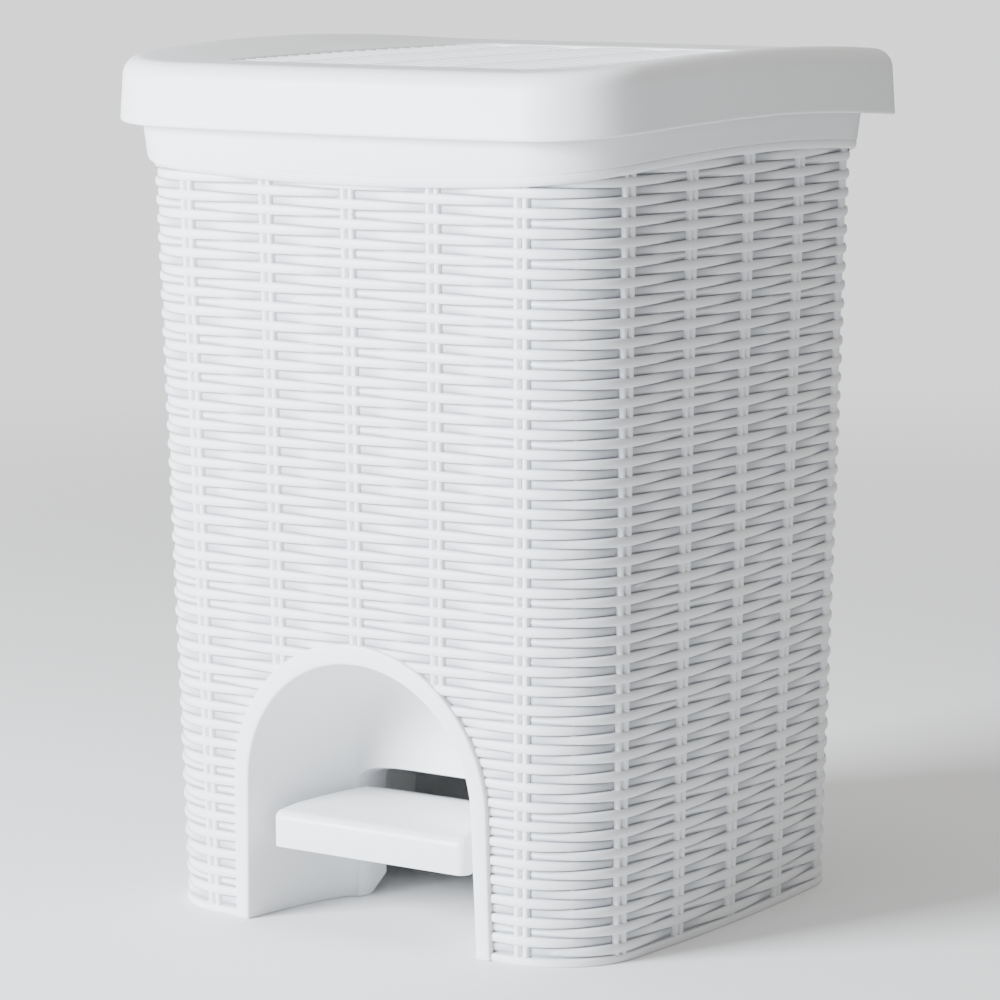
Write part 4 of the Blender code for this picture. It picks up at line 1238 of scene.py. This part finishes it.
@dataclass
class WovenLid:
    """Overhanging lid: sides arched up, a woven panel sunk in its top, a seating rib and screw posts."""

    finishes: Finishes
    pattern: WeavePattern = field(default_factory=lambda: WeavePattern(
        pitch=4.9 * MM, first_row=0.0, half_over=2.6 * MM, half_behind=1.9 * MM))
    half: tuple[float, float] = (163.0 * MM, 159.85 * MM)
    corner: float = 50.0 * MM
    rim: float = 405.3 * MM
    side_rim: float = 412.1 * MM
    corner_rim: float = 404.3 * MM
    side_peak: float = -10.0 * MM
    side_curves: tuple[float, float] = (0.22, 0.33)
    level: float = 437.6 * MM
    rise: float = 6.7 * MM
    crest: tuple[float, float] = (96.0 * MM, 153.0 * MM)
    arch_reach: float = 155.0 * MM
    edge: float = 10.0 * MM
    draft: float = 1.5 * MM
    skin: float = 2.5 * MM
    panel: tuple[float, float] = (102.0 * MM, 110.9 * MM)
    panel_corner: float = 16.0 * MM
    recess: float = 3.4 * MM
    weave_drop: float = 0.35 * MM
    weave_margin: float = 0.6 * MM
    stake_spacing: float = 50.0 * MM
    rod_rows: int = 13
    rib_plan: float = 418.0 * MM
    rib_low: float = 418.4 * MM
    rib_sides: tuple[float, float] = (3.2 * MM, 1.6 * MM)
    rib_gap: tuple[float, float, float] = (118.0 * MM, 22.0 * MM, 14.0 * MM)
    rib_gap_place: tuple[float, float, float] = (0.0, 134.0 * MM, 423.0 * MM)
    post_profile: tuple[tuple[float, float], ...] = (
        (0.0, 436.4), (4.9, 436.4), (4.6, 434.0), (4.5, 427.8), (4.2, 427.3), (2.1, 427.3), (2.1, 434.5),
        (0.0, 434.5))

    def lift(self, x: np.ndarray, y: np.ndarray) -> np.ndarray:
        """How far the top's arched sides rise above its level part."""
        share = np.clip((np.abs(x) - self.crest[0]) / (self.crest[1] - self.crest[0]), 0.0, 1.0)
        along = np.clip(1.0 - ((y - CASING.centre_y) / self.arch_reach) ** 2, 0.0, 1.0)
        return self.rise * share * share * (3.0 - 2.0 * share) * along

    def rim_height(self, x: np.ndarray, y: np.ndarray) -> np.ndarray:
        """Height of the lid's lower edge."""
        away = y - CASING.centre_y - self.side_peak
        curve = np.where(away < 0.0, *self.side_curves)
        side = np.maximum(self.corner_rim, self.side_rim - curve * away ** 2)
        return self.rim + (side - self.rim) * np.abs(x / self.half[0]) ** 5

    def outline(self, offset: float) -> np.ndarray:
        """The lid's outline in plan, moved outwards by an offset."""
        half = (self.half[0] + offset, self.half[1] + offset)
        return CASING.outline(half, self.corner + offset, 16, 16)

    def top_ring(self, offset: float, z: float) -> Ring:
        """Ring near the top, following its arched sides."""
        x, y = self.outline(offset).T
        return np.column_stack([x, y, z + self.lift(x, y)])

    def side_ring(self, offset: float, share: float, up: float = 0.0) -> Ring:
        """Ring on the skirt: share 0 is the lower edge and share 1 the start of the rounded top edge."""
        x, y = self.outline(offset).T
        low = self.rim_height(x, y) + up
        high = self.level - self.edge + self.lift(x, y)
        return np.column_stack([x, y, low + (high - low) * share])

    def panel_ring(self, grow: float, z: float, scale: float = 1.0) -> Ring:
        """Ring about the woven panel, following the arched top."""
        half = ((self.panel[0] + grow) * scale, (self.panel[1] + grow) * scale)
        plan = CASING.outline(half, (self.panel_corner + grow) * scale, 16, 16)
        x, y = plan[:, 0], plan[:, 1] + CASING.centre_y
        return np.column_stack([x, y, z + self.lift(x, y)])

    def border_rings(self, drop: float) -> list[Ring]:
        """Rings of the border between the panel and the outer edge.

        Args:
            drop: Distance below the outer surface.

        Returns:
            Rings from the panel outwards.
        """
        inner = self.panel_ring(5.0 * MM, self.level - drop)
        outer = self.top_ring(-self.draft - self.edge, self.level - drop)
        rings = []
        for share in np.linspace(0.0, 1.0, 13):
            ring = inner + (outer - inner) * share
            ring[:, 2] = self.level - drop + self.lift(ring[:, 0], ring[:, 1])
            rings.append(ring)
        return rings

    def edge_rings(self, radius: float) -> list[Ring]:
        """Rings round the top's outer edge, from the top down to the skirt."""
        rings = []
        for degrees in range(90, -1, -9):
            t = math.radians(degrees)
            rings.append(self.top_ring(-self.draft - self.edge + radius * math.cos(t),
                                       self.level - self.edge + radius * math.sin(t)))
        return rings

    def skirt_rings(self) -> list[Ring]:
        """Rings of the skirt, down its outside, round its lower edge and up its inside."""
        shares = (0.75, 0.5, 0.25, 0.1)
        rings = [self.side_ring(-self.draft * share, share) for share in shares]
        lip = ((0.0, 1.2), (-0.12, 0.6), (-0.5, 0.12), (-1.0, 0.0), (-1.7, 0.0), (-2.2, 0.25), (-2.5, 0.9))
        rings += [self.side_ring(offset * MM, 0.0, up * MM) for offset, up in lip]
        return rings + [self.side_ring(-self.draft * share - self.skin, share) for share in shares[::-1]]

    def shell(self) -> bpy.types.Object:
        """The lid's shell with the sunken seat of the panel."""
        floor = self.level - self.recess
        rings = [self.panel_ring(0.0, floor, scale=s) for s in (0.06, 0.3, 0.6, 0.85, 1.0)]
        wall = [(0.1, 0.1), (0.15, 2.0), (0.5, 2.75), (1.4, 3.2), (3.0, 3.4)]
        rings += [self.panel_ring(grow * MM, floor + up * MM) for grow, up in wall]
        rings += self.border_rings(0.0)[:-1] + self.edge_rings(self.edge) + self.skirt_rings()
        rings += self.edge_rings(self.edge - self.skin)[::-1] + self.border_rings(self.skin)[-2:0:-1]
        rings.append(self.panel_ring(2.6 * MM, self.level - self.skin))
        rings.append(self.panel_ring(2.2 * MM, floor - self.skin))
        rings += [self.panel_ring(0.0, floor - self.skin, scale=s) for s in (0.85, 0.6, 0.3, 0.06)]
        return to_piece(capped(rings), "lid_moulding", 45.0)

    def rib(self) -> bpy.types.Object:
        """Rib under the lid that seats on the collar, open at the back for the hinge bracket."""
        outer, inner = self.rib_sides
        high = self.level - 1.0 * MM
        rings = []
        for offset, z, share in ((outer, self.rib_low, 0.0), (outer, high, 1.0), (inner, high, 1.0),
                                 (inner, self.rib_low, 0.0)):
            ring = CASING.ring(self.rib_plan, offset)
            ring[:, 2] = z + share * self.lift(ring[:, 0], ring[:, 1])
            rings.append(ring)
        rib = to_piece(grid_surface(np.array(rings + rings[:1]), loop=True), "lid_seat_rib")
        gap = bmesh.new()
        size = Matrix.Diagonal((*self.rib_gap, 1.0))
        bmesh.ops.create_cube(gap, size=1.0, matrix=Matrix.Translation(self.rib_gap_place) @ size)
        return cut(rib, [gap])

    def weave(self) -> bpy.types.Object:
        """The woven panel: strands along X, in front of and behind stakes along Y."""
        pattern = self.pattern
        reach = (self.panel[0] + self.weave_margin, self.panel[1] + self.weave_margin)
        places = pattern.places(-reach[0] / self.stake_spacing + 2.0, reach[0] / self.stake_spacing + 2.0)
        x = (places - 2.0) * self.stake_spacing
        count = int(reach[1] / pattern.pitch)
        rows, depths = [], []
        for row in range(-count, count + 1):
            offsets, depth = pattern.lines(row, places)
            rows += list(offsets + row * pattern.pitch + CASING.centre_y)
            depths += list(depth)
        y, depth = np.array(rows), np.array(depths)
        x = np.repeat(x[None], len(rows), axis=0)
        inset = self.corner_inset(x, y)
        z = self.level - self.weave_drop + self.lift(x, y) - depth
        points = np.stack([x * inset, y, z], axis=2)
        piece = to_piece(grid_surface(points, facing=Facing.UP), "lid_weave", 70.0)
        # Depth below the crests, which drives the painted shade in the panel's crevices.
        crest = self.level - self.weave_drop
        store_depth(piece, lambda p: np.clip(
            (crest + self.lift(p[:, 0], p[:, 1]) - p[:, 2]) / pattern.floor, 0.0, 1.0))
        return piece

    def corner_inset(self, x: np.ndarray, y: np.ndarray) -> np.ndarray:
        """Share that draws the weave's ends in at the panel's rounded corners."""
        radius = self.panel_corner
        over = np.clip(np.abs(y - CASING.centre_y) - (self.panel[1] - radius), 0.0, radius)
        cut_back = radius - np.sqrt(np.clip(radius ** 2 - over ** 2, 0.0, None))
        limit = self.panel[0] + self.weave_margin - cut_back
        return np.where(np.abs(x) > limit, limit / np.maximum(np.abs(x), 1e-9), 1.0)

    def stakes(self) -> bpy.types.Object:
        """Pairs of half-round rods under the panel's strands."""
        pattern = self.pattern
        whole = bmesh.new()
        across, sink = pattern.rod_section(pattern.floor)
        for stake in range(1, 4):
            for way in (-1.0, 1.0):
                middle = (stake - 2) * self.stake_spacing + way * (pattern.rod_half + pattern.rod_gap / 2.0)
                y = np.linspace(-self.panel[1], self.panel[1], self.rod_rows) + CASING.centre_y
                x = np.repeat((middle + across * pattern.rod_half)[None], self.rod_rows, axis=0)
                yy = np.repeat(y[:, None], ROD_SPANS, axis=1)
                z = self.level - self.weave_drop + self.lift(x, yy) - sink[None]
                gather(whole, grid_surface(np.stack([x, yy, z], axis=2), facing=Facing.UP))
        return to_piece(whole, "lid_stakes", 80.0)

    def posts(self) -> bpy.types.Object:
        """Two screw posts under the lid."""
        whole = bmesh.new()
        x, y, _ = middle_of("bracket_screw_right")
        profile = [(radius * MM, height * MM) for radius, height in self.post_profile]
        for side in (-1.0, 1.0):
            gather(whole, turned(profile, (side * abs(x), y, 0.0), UPRIGHT, 28))
        return to_piece(whole, "lid_screw_posts")

    def build(self) -> None:
        """Build and dress the lid."""
        for piece in (self.shell(), self.rib(), self.stakes(), self.posts()):
            dress(piece, self.finishes.smooth_white, "lid", "white_plastic", "lid_shell")
        dress(self.weave(), self.finishes.woven_white, "lid", "white_plastic", "lid_shell")
        bracket = softened_copy("lid_hinge_bracket", "hinge_bracket", 0.6 * MM)
        dress(bracket, self.finishes.inner_white, "lid", "inner_plastic", "lid_hinge_bracket")


# ---- pedal ---------------------------------------------------------------------------------------------


@dataclass
class FootPedal:
    """Foot plate with softly rounded edges, hollow underneath, and its lever, boss and tail."""

    finishes: Finishes
    skin: float = 2.6 * MM
    front: float = -125.0 * MM
    roll: float = 5.0 * MM
    joint: float = -50.0 * MM
    front_half_width: float = 60.0 * MM
    front_height: tuple[float, float] = (39.0 * MM, 57.9 * MM)
    corner: tuple[float, float] = (4.5 * MM, 3.0 * MM)
    corner_inset: float = 0.75
    smallest_corner: float = 0.4 * MM
    hollow_low: float = 20.0 * MM
    hollow_past: float = 5.0 * MM
    rows: tuple[tuple[float, float, float, float], ...] = (
        (-110.0, 57.7, 39.0, 59.5), (-95.0, 55.0, 39.6, 60.1),
        (-78.0, 51.9, 40.8, 60.3), (-68.0, 50.1, 41.6, 60.2), (-62.0, 49.0, 42.0, 60.0),
        (-56.0, 48.65, 40.6, 58.6), (-50.0, 48.3, 39.18, 57.18))

    def section(self, y: float, half_width: float, low: float, high: float, corner: float) -> Ring:
        """Closed section across the pedal with rounded upper corners.

        Args:
            y: Depth from the casing's middle.
            half_width: Half width.
            low: Height of the lower edge.
            high: Height of the top.
            corner: Radius of the upper corners.

        Returns:
            Array of points by 3.
        """
        t = np.linspace(0.0, math.pi / 2.0, 9)
        side_x = half_width - corner + corner * np.cos(t)
        side_z = high - corner + corner * np.sin(t)
        x = np.concatenate([[half_width], side_x, -side_x[::-1], [-half_width]])
        z = np.concatenate([[low], side_z, side_z[::-1], [low]])
        return np.column_stack([x, np.full(len(x), y + CASING.centre_y), z])

    def sections(self, inside: float, low: float | None = None) -> list[Ring]:
        """Sections from the rounded front edge back to the lever.

        Args:
            inside: Distance inside the outer surface.
            low: Height of the lower edge, or None for the pedal's own.

        Returns:
            Rings from front to back.
        """
        rings = []
        roll = self.roll - inside
        for degrees in range(0, 91, 15):
            t = math.radians(degrees)
            inset = roll * (1.0 - math.sin(t)) + inside
            y = self.front + inside + roll * (1.0 - math.cos(t))
            corner = max(self.smallest_corner, self.corner[0] - self.corner_inset * inset)
            rings.append(self.section(y, self.front_half_width - inset, low or self.front_height[0],
                                      self.front_height[1] - inset, corner))
        plate_start = self.front + self.roll
        for y, half_width, foot, high in self.rows:
            back = (y * MM - plate_start) / (self.joint - plate_start)
            corner = (1.0 - back) * self.corner[0] + back * self.corner[1] - self.corner_inset * inside
            rings.append(self.section(y * MM, half_width * MM - inside, low or foot * MM,
                                      high * MM - inside, corner))
        return rings

    def plate(self) -> bpy.types.Object:
        """The foot plate, hollow underneath."""
        outer = to_piece(capped(self.sections(0.0)), "foot_plate")
        rings = self.sections(self.skin, self.hollow_low)
        rings.append(rings[-1] + (0.0, self.hollow_past, 0.0))
        plate = cut(outer, [capped(rings)])
        return soften(plate, 0.5 * MM)

    def lever(self) -> bpy.types.Object:
        """The rear of the pedal, with its boss and tail."""
        bm = bmesh.new()
        bm.from_mesh(frame["nodes"]["pedal"].data)
        bmesh.ops.remove_doubles(bm, verts=bm.verts, dist=1e-6)
        bmesh.ops.bisect_plane(bm, geom=bm.verts[:] + bm.edges[:] + bm.faces[:], dist=1e-6,
                               plane_co=(0.0, CASING.centre_y + self.joint, 0.0), plane_no=(0.0, 1.0, 0.0),
                               clear_inner=True)
        bmesh.ops.holes_fill(bm, edges=bm.edges, sides=0)
        bmesh.ops.dissolve_limit(bm, angle_limit=math.radians(1.0), verts=bm.verts, edges=bm.edges)
        return soften(to_piece(bm, "pedal_lever"), 0.7 * MM)

    def build(self) -> None:
        """Build and dress the pedal."""
        dress(self.plate(), self.finishes.pedal_white, "pedal", "white_plastic", "pedal")
        dress(self.lever(), self.finishes.pedal_white, "pedal", "white_plastic", "pedal")


# ---- bucket and bail -----------------------------------------------------------------------------------


@dataclass
class Bucket:
    """Lift-out bucket with a rolled flange, its wire bail and grip."""

    finishes: Finishes
    outside: tuple[tuple[float, float, float, float, float], ...] = (
        (73.0, 30.0, 20.0, 60.0, 12.0), (72.5, 100.0, -16.0, 80.0, 26.0), (72.3, 105.0, -21.0, 85.0, 29.0),
        (73.2, 109.0, -25.5, 88.5, 31.0), (76.0, 113.5, -30.0, 92.0, 33.0), (80.0, 118.0, -34.5, 95.0, 34.0),
        (130.0, 124.0, -73.0, 96.6, 36.0), (183.0, 129.8, -110.5, 98.0, 38.0),
        (188.0, 130.2, -112.6, 98.1, 38.0), (290.0, 135.8, -121.3, 100.5, 39.0),
        (394.0, 141.2, -130.1, 102.9, 40.0), (398.0, 142.2, -131.2, 103.6, 41.0),
        (398.9, 144.5, -133.0, 105.0, 43.0))
    inside: tuple[tuple[float, float, float, float, float], ...] = (
        (401.6, 144.0, -133.0, 104.5, 42.5), (401.0, 140.6, -129.8, 102.0, 39.6),
        (399.0, 139.5, -128.6, 101.0, 38.4), (290.0, 133.6, -119.2, 98.4, 37.0),
        (188.0, 128.1, -110.6, 96.1, 36.0), (183.5, 127.7, -108.5, 96.0, 36.0),
        (130.0, 122.0, -70.6, 94.6, 34.0), (81.5, 116.0, -31.5, 93.0, 32.0),
        (77.0, 111.0, -27.0, 89.5, 31.0), (75.0, 107.0, -23.0, 86.5, 29.0), (74.6, 100.0, -16.0, 80.0, 26.0),
        (75.0, 30.0, 20.0, 60.0, 12.0))

    pivot_reach: float = 160.0 * MM
    pivot_hole: float = 2.1 * MM
    wire: float = 1.8 * MM
    bail_end: float = 144.4 * MM
    bail_side: float = 134.0 * MM
    bail_front: float = 113.0 * MM
    bail_bends: tuple[float, float] = (6.0 * MM, 30.0 * MM)
    grip_radius: tuple[float, float, float, float] = (2.0, 4.4, 4.5, 5.0)
    grip_half: float = 36.0
    rib_pitch: float = 4.0

    def ring(self, z: float, half_width: float, front: float, back: float, corner: float) -> Ring:
        """Ring of the bucket at a height, all in millimetres."""
        plan = CASING.outline((half_width * MM, (back - front) / 2.0 * MM), corner * MM, 12, 12)
        y = plan[:, 1] + (back + front) / 2.0 * MM + CASING.centre_y
        return np.column_stack([plan[:, 0], y, np.full(len(plan), z * MM)])

    def build(self) -> None:
        """Build and dress the bucket, bail and grip."""
        flange_half = CASING.half(398.9 * MM, 0.6 * MM)
        wide, deep = flange_half[0] / MM - 1.4, flange_half[1] / MM
        rows = [*self.outside, (398.9, wide - 0.8, -deep + 0.8, 107.7, 49.2),
                (399.3, wide, -deep, 108.5, 50.0),
                (400.8, wide, -deep, 108.5, 50.0), (401.4, wide - 0.7, -deep + 0.7, 107.8, 49.3),
                *self.inside]
        bucket = to_piece(capped([self.ring(*row) for row in rows]), "bucket_moulding", 50.0)
        pivot = joint_place("bail_hinge")
        ends = [(side * self.pivot_reach, pivot[1], pivot[2]) for side in (-1.0, 1.0)]
        cut(bucket, [cylinder(*ends, self.pivot_hole, 24)])
        dress(bucket, self.finishes.bucket_grey, "casing", "bucket_plastic", "inner_bucket")
        self.bail(pivot)

    def bail(self, pivot: Sequence[float]) -> None:
        """Wire bail and its ribbed grip."""
        side, (small, large) = self.bail_side, self.bail_bends
        front = CASING.centre_y - self.bail_front
        half = [(-self.bail_end, pivot[1]), (-side - 2.0 * MM, pivot[1])]
        for degrees in range(100, 181, 10):
            t = math.radians(degrees)
            half.append((-side + small * (1.0 + math.cos(t)), pivot[1] - small * (1.0 - math.sin(t))))
        for degrees in range(180, 271, 9):
            t = math.radians(degrees)
            half.append((-side + large * (1.0 + math.cos(t)), front + large * (1.0 + math.sin(t))))
        path = half + [(-x, y) for x, y in half[::-1]]
        curve = bpy.data.curves.new("bail_path", "CURVE")
        curve.dimensions = "3D"
        curve.bevel_depth = self.wire
        curve.bevel_resolution = 4
        curve.use_fill_caps = True
        line = curve.splines.new("POLY")
        line.points.add(len(path) - 1)
        for point, (x, y) in zip(line.points, path):
            point.co = (x, y, pivot[2], 1.0)
        wire = link_curve(curve, "bail_wire")
        dress(wire, self.finishes.cross_steel, "bail", "steel", "bail_handle")
        middle = (0.0, *middle_of("handle_grip")[1:])
        bore, end, groove, crest = self.grip_radius
        half_profile = [(bore, self.grip_half), (end, self.grip_half), (crest, 35.3), (crest, 32.0)]
        profile = [(radius, -along) for radius, along in half_profile]
        for rib in range(-7, 8):
            centre = rib * self.rib_pitch
            profile += [(crest, centre - 1.6), (groove, centre - 1.1), (groove, centre + 1.1),
                        (crest, centre + 1.6)]
        profile += [*half_profile[::-1], profile[0]]
        profile = [(radius * MM, along * MM) for radius, along in profile]
        grip = to_piece(turned(profile, middle, (1.0, 0.0, 0.0), 28), "bail_grip", 35.0)
        dress(grip, self.finishes.inner_white, "bail", "inner_plastic", "handle_grip")


def link_curve(curve: bpy.types.Curve, name: str) -> bpy.types.Object:
    """Turn a curve into a mesh piece with its caps welded.

    Args:
        curve: The curve; it is removed.
        name: The piece's name.

    Returns:
        The mesh piece.
    """
    guide = bpy.data.objects.new(name + "_guide", curve)
    bpy.context.scene.collection.objects.link(guide)
    bpy.context.view_layer.update()
    mesh = bpy.data.meshes.new_from_object(guide.evaluated_get(bpy.context.evaluated_depsgraph_get()))
    bpy.data.objects.remove(guide)
    bm = bmesh.new()
    bm.from_mesh(mesh)
    bpy.data.meshes.remove(mesh)
    bmesh.ops.remove_doubles(bm, verts=bm.verts, dist=1e-6)
    return to_piece(bm, name, 50.0)


# ---- mechanism -----------------------------------------------------------------------------------------


@dataclass
class Mechanism:
    """Tray, rod, guides, pins, clips and screws."""

    finishes: Finishes
    chamfer: float = 0.5 * MM
    screw_head: tuple[tuple[float, float], ...] = (
        (0.0, 0.0), (1.5, 0.02), (2.4, 0.22), (3.0, 0.75), (3.2, 1.3), (3.2, 1.8), (1.55, 1.8))
    screw_shank: float = 1.55
    recess: tuple[float, float, float] = (3.2 * MM, 0.7 * MM, 1.6 * MM)

    def build(self) -> None:
        """Dress the pieces inside the bin."""
        inner = self.finishes.inner_white
        for node, name, width in (("base_tray", "tray", 0.5), ("rod_guide_lower", "lower_guide", 0.3),
                                  ("rod_guide_upper", "upper_guide", 0.3)):
            dress(softened_copy(node, name, width * MM), inner, "casing", "inner_plastic", node)
        cap = softened_copy("rod_cap", "rod_top_cap", 0.3 * MM)
        dress(cap, self.finishes.rod_grey, "rod", "rod_plastic", "rod_cap")
        self.upright_rod()
        self.screws()
        plain = {"rod_foot": self.finishes.rod_grey, "pedal_pivot_pin": self.finishes.cross_steel,
                 "pivot_clip_left": self.finishes.screw_steel, "pivot_clip_right": self.finishes.screw_steel,
                 "hinge_pin_left": self.finishes.cross_steel, "hinge_pin_right": self.finishes.cross_steel}
        for node, finish in plain.items():
            mesh = frame["nodes"][node].data
            mesh.materials.clear()
            mesh.materials.append(finish)

    def upright_rod(self) -> None:
        """Steel rod with chamfered ends."""
        low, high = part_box("push_rod")
        radius = (high.x - low.x) / 2.0
        length = high.z - low.z
        middle = middle_of("push_rod")
        profile = [(0.0, 0.0), (radius - self.chamfer, 0.0), (radius, self.chamfer)]
        profile += [(radius, length * share) for share in (0.25, 0.5, 0.75)]
        profile += [(radius, length - self.chamfer), (radius - self.chamfer, length), (0.0, length)]
        rod = to_piece(turned(profile, (*middle[:2], low.z), UPRIGHT, 32), "steel_push_rod", 35.0)
        dress(rod, self.finishes.upright_steel, "rod", "steel", "push_rod")

    def screw(self, node: str, head_up: bool) -> bpy.types.Object:
        """Pan-head screw with a cross recess, in a CAD screw's place.

        Args:
            node: The CAD screw.
            head_up: Whether its head is at its upper end.

        Returns:
            The screw.
        """
        low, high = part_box(node)
        place = (*middle_of(node)[:2], high.z if head_up else low.z)
        way = -1.0 if head_up else 1.0
        tip = (high.z - low.z) / MM
        profile = [*self.screw_head, (self.screw_shank, tip - 1.2), (0.3, tip), (0.0, tip)]
        bm = turned([(radius * MM, along * MM) for radius, along in profile], place, (0.0, 0.0, way), 24)
        piece = to_piece(bm, f"{node}_piece", 35.0)
        slots = []
        for across, along in (self.recess[:2], self.recess[1::-1]):
            tool = bmesh.new()
            block = Matrix.Diagonal((across, along, self.recess[2], 1.0))
            bmesh.ops.create_cube(tool, size=1.0, matrix=Matrix.Translation(place) @ block)
            slots.append(tool)
        return cut(piece, slots)

    def screws(self) -> None:
        """Dress every screw."""
        for base, head_up, body in (("niche_screw", False, "casing"), ("guide_screw", True, "casing"),
                                    ("bracket_screw", False, "lid")):
            for side in ("left", "right"):
                node = f"{base}_{side}"
                dress(self.screw(node, head_up), self.finishes.screw_steel, body, "screw_steel", node)


# ---- studio --------------------------------------------------------------------------------------------


@dataclass(frozen=True)
class Studio:
    """Floor, lights, world and the matched camera."""

    camera_place: tuple[float, float, float] = (1.2249, -1.78705, 0.5389)
    lens: float = 150.9
    heading: float = 34.62
    tilt: float = 8.74
    roll: float = -0.21
    floor_half: float = 60.0
    fade_reach: tuple[float, float] = (0.3, 2.6)
    backdrop: float = 1.5
    sky: tuple[float, float, float] = (1.0, 0.985, 0.965)
    sky_strength: float = 0.36
    lit_point: tuple[float, float, float] = (0.0, 0.0, 0.22)

    def camera(self) -> None:
        """Place the camera at the object's usual viewing angle."""
        yaw, pitch, roll = (math.radians(a) for a in (self.heading, self.tilt, self.roll))
        level = Vector((-math.sin(yaw), math.cos(yaw), 0.0))
        forward = level * math.cos(pitch) - Vector((0.0, 0.0, math.sin(pitch)))
        right = Vector((math.cos(yaw), math.sin(yaw), 0.0))
        up = right.cross(forward)
        right_rolled = right * math.cos(roll) + up * math.sin(roll)
        up_rolled = up * math.cos(roll) - right * math.sin(roll)
        data = bpy.data.cameras.new("camera")
        data.lens = self.lens
        data.sensor_width = 36.0
        data.clip_start = 0.05
        camera = bpy.data.objects.new("camera", data)
        turn = Matrix((right_rolled, up_rolled, -forward)).transposed().to_4x4()
        camera.matrix_world = Matrix.Translation(self.camera_place) @ turn
        bpy.context.scene.collection.objects.link(camera)
        bpy.context.scene.camera = camera

    def area(self, name: str, place: Sequence[float], size: float, power: float,
             colour: tuple[float, float, float]) -> None:
        """Square soft light that points at the bin.

        Args:
            name: The light's name.
            place: Where it hangs.
            size: Side length.
            power: Watts.
            colour: Its colour.
        """
        data = bpy.data.lights.new(name, "AREA")
        data.size = size
        data.energy = power
        data.color = colour
        light = bpy.data.objects.new(name, data)
        way = Vector(self.lit_point) - Vector(place)
        light.matrix_world = Matrix.Translation(place) @ way.to_track_quat("-Z", "Y").to_matrix().to_4x4()
        bpy.context.scene.collection.objects.link(light)

    def pale_floor(self) -> bpy.types.Material:
        """Pale floor that the camera sees fade into a white backdrop away from the bin.

        Returns:
            The material.
        """
        material = bpy.data.materials.new("pale_floor")
        material.use_nodes = True
        nodes = Nodes(material.node_tree)
        shader = material.node_tree.nodes["Principled BSDF"]
        shader.inputs["Base Color"].default_value = (0.9, 0.9, 0.9, 1.0)
        shader.inputs["Roughness"].default_value = 0.75
        shader.inputs["Specular IOR Level"].default_value = 0.2
        place = nodes.add("ShaderNodeTexCoord")
        reach = nodes.add("ShaderNodeVectorMath", operation="LENGTH")
        fade = nodes.add("ShaderNodeMapRange", interpolation_type="SMOOTHERSTEP",
                         From_Min=self.fade_reach[0], From_Max=self.fade_reach[1])
        seen = nodes.add("ShaderNodeLightPath")
        share = nodes.add("ShaderNodeMath", operation="MULTIPLY")
        glow = nodes.add("ShaderNodeEmission", Strength=self.backdrop)
        blend = nodes.add("ShaderNodeMixShader")
        nodes.join(place.outputs["Object"], reach.inputs[0])
        nodes.join(reach.outputs["Value"], fade.inputs["Value"])
        nodes.join(fade.outputs["Result"], share.inputs[0])
        nodes.join(seen.outputs["Is Camera Ray"], share.inputs[1])
        nodes.join(share.outputs["Value"], blend.inputs["Fac"])
        nodes.join(shader.outputs["BSDF"], blend.inputs[1])
        nodes.join(glow.outputs["Emission"], blend.inputs[2])
        nodes.join(blend.outputs["Shader"], material.node_tree.nodes["Material Output"].inputs["Surface"])
        return material

    def build(self) -> None:
        """Make the floor, world, lights and camera."""
        self.camera()
        bm = bmesh.new()
        bmesh.ops.create_grid(bm, x_segments=1, y_segments=1, size=self.floor_half)
        floor = to_piece(bm, "floor")
        floor.data.materials.append(self.pale_floor())
        world = bpy.data.worlds.new("studio")
        world.use_nodes = True
        back = world.node_tree.nodes["Background"]
        back.inputs["Color"].default_value = (*self.sky, 1.0)
        back.inputs["Strength"].default_value = self.sky_strength
        bpy.context.scene.world = world
        self.area("key_front_left", (-1.3, -2.4, 1.0), 1.2, 330.0, (0.90, 0.95, 1.0))
        self.area("top_soft", (0.1, 0.2, 2.0), 1.4, 18.0, (1.0, 0.98, 0.95))


def main() -> None:
    """Build every sub-assembly in order."""
    logging.basicConfig(level=logging.INFO, format="%(name)s: %(message)s")
    Studio().build()
    finishes = Finishes()
    for assembly in (WovenCasing(finishes), PedalNiche(finishes), TopCollar(finishes), WovenLid(finishes),
                     FootPedal(finishes), Bucket(finishes), Mechanism(finishes)):
        assembly.build()


if __name__ == "__main__":
    main()
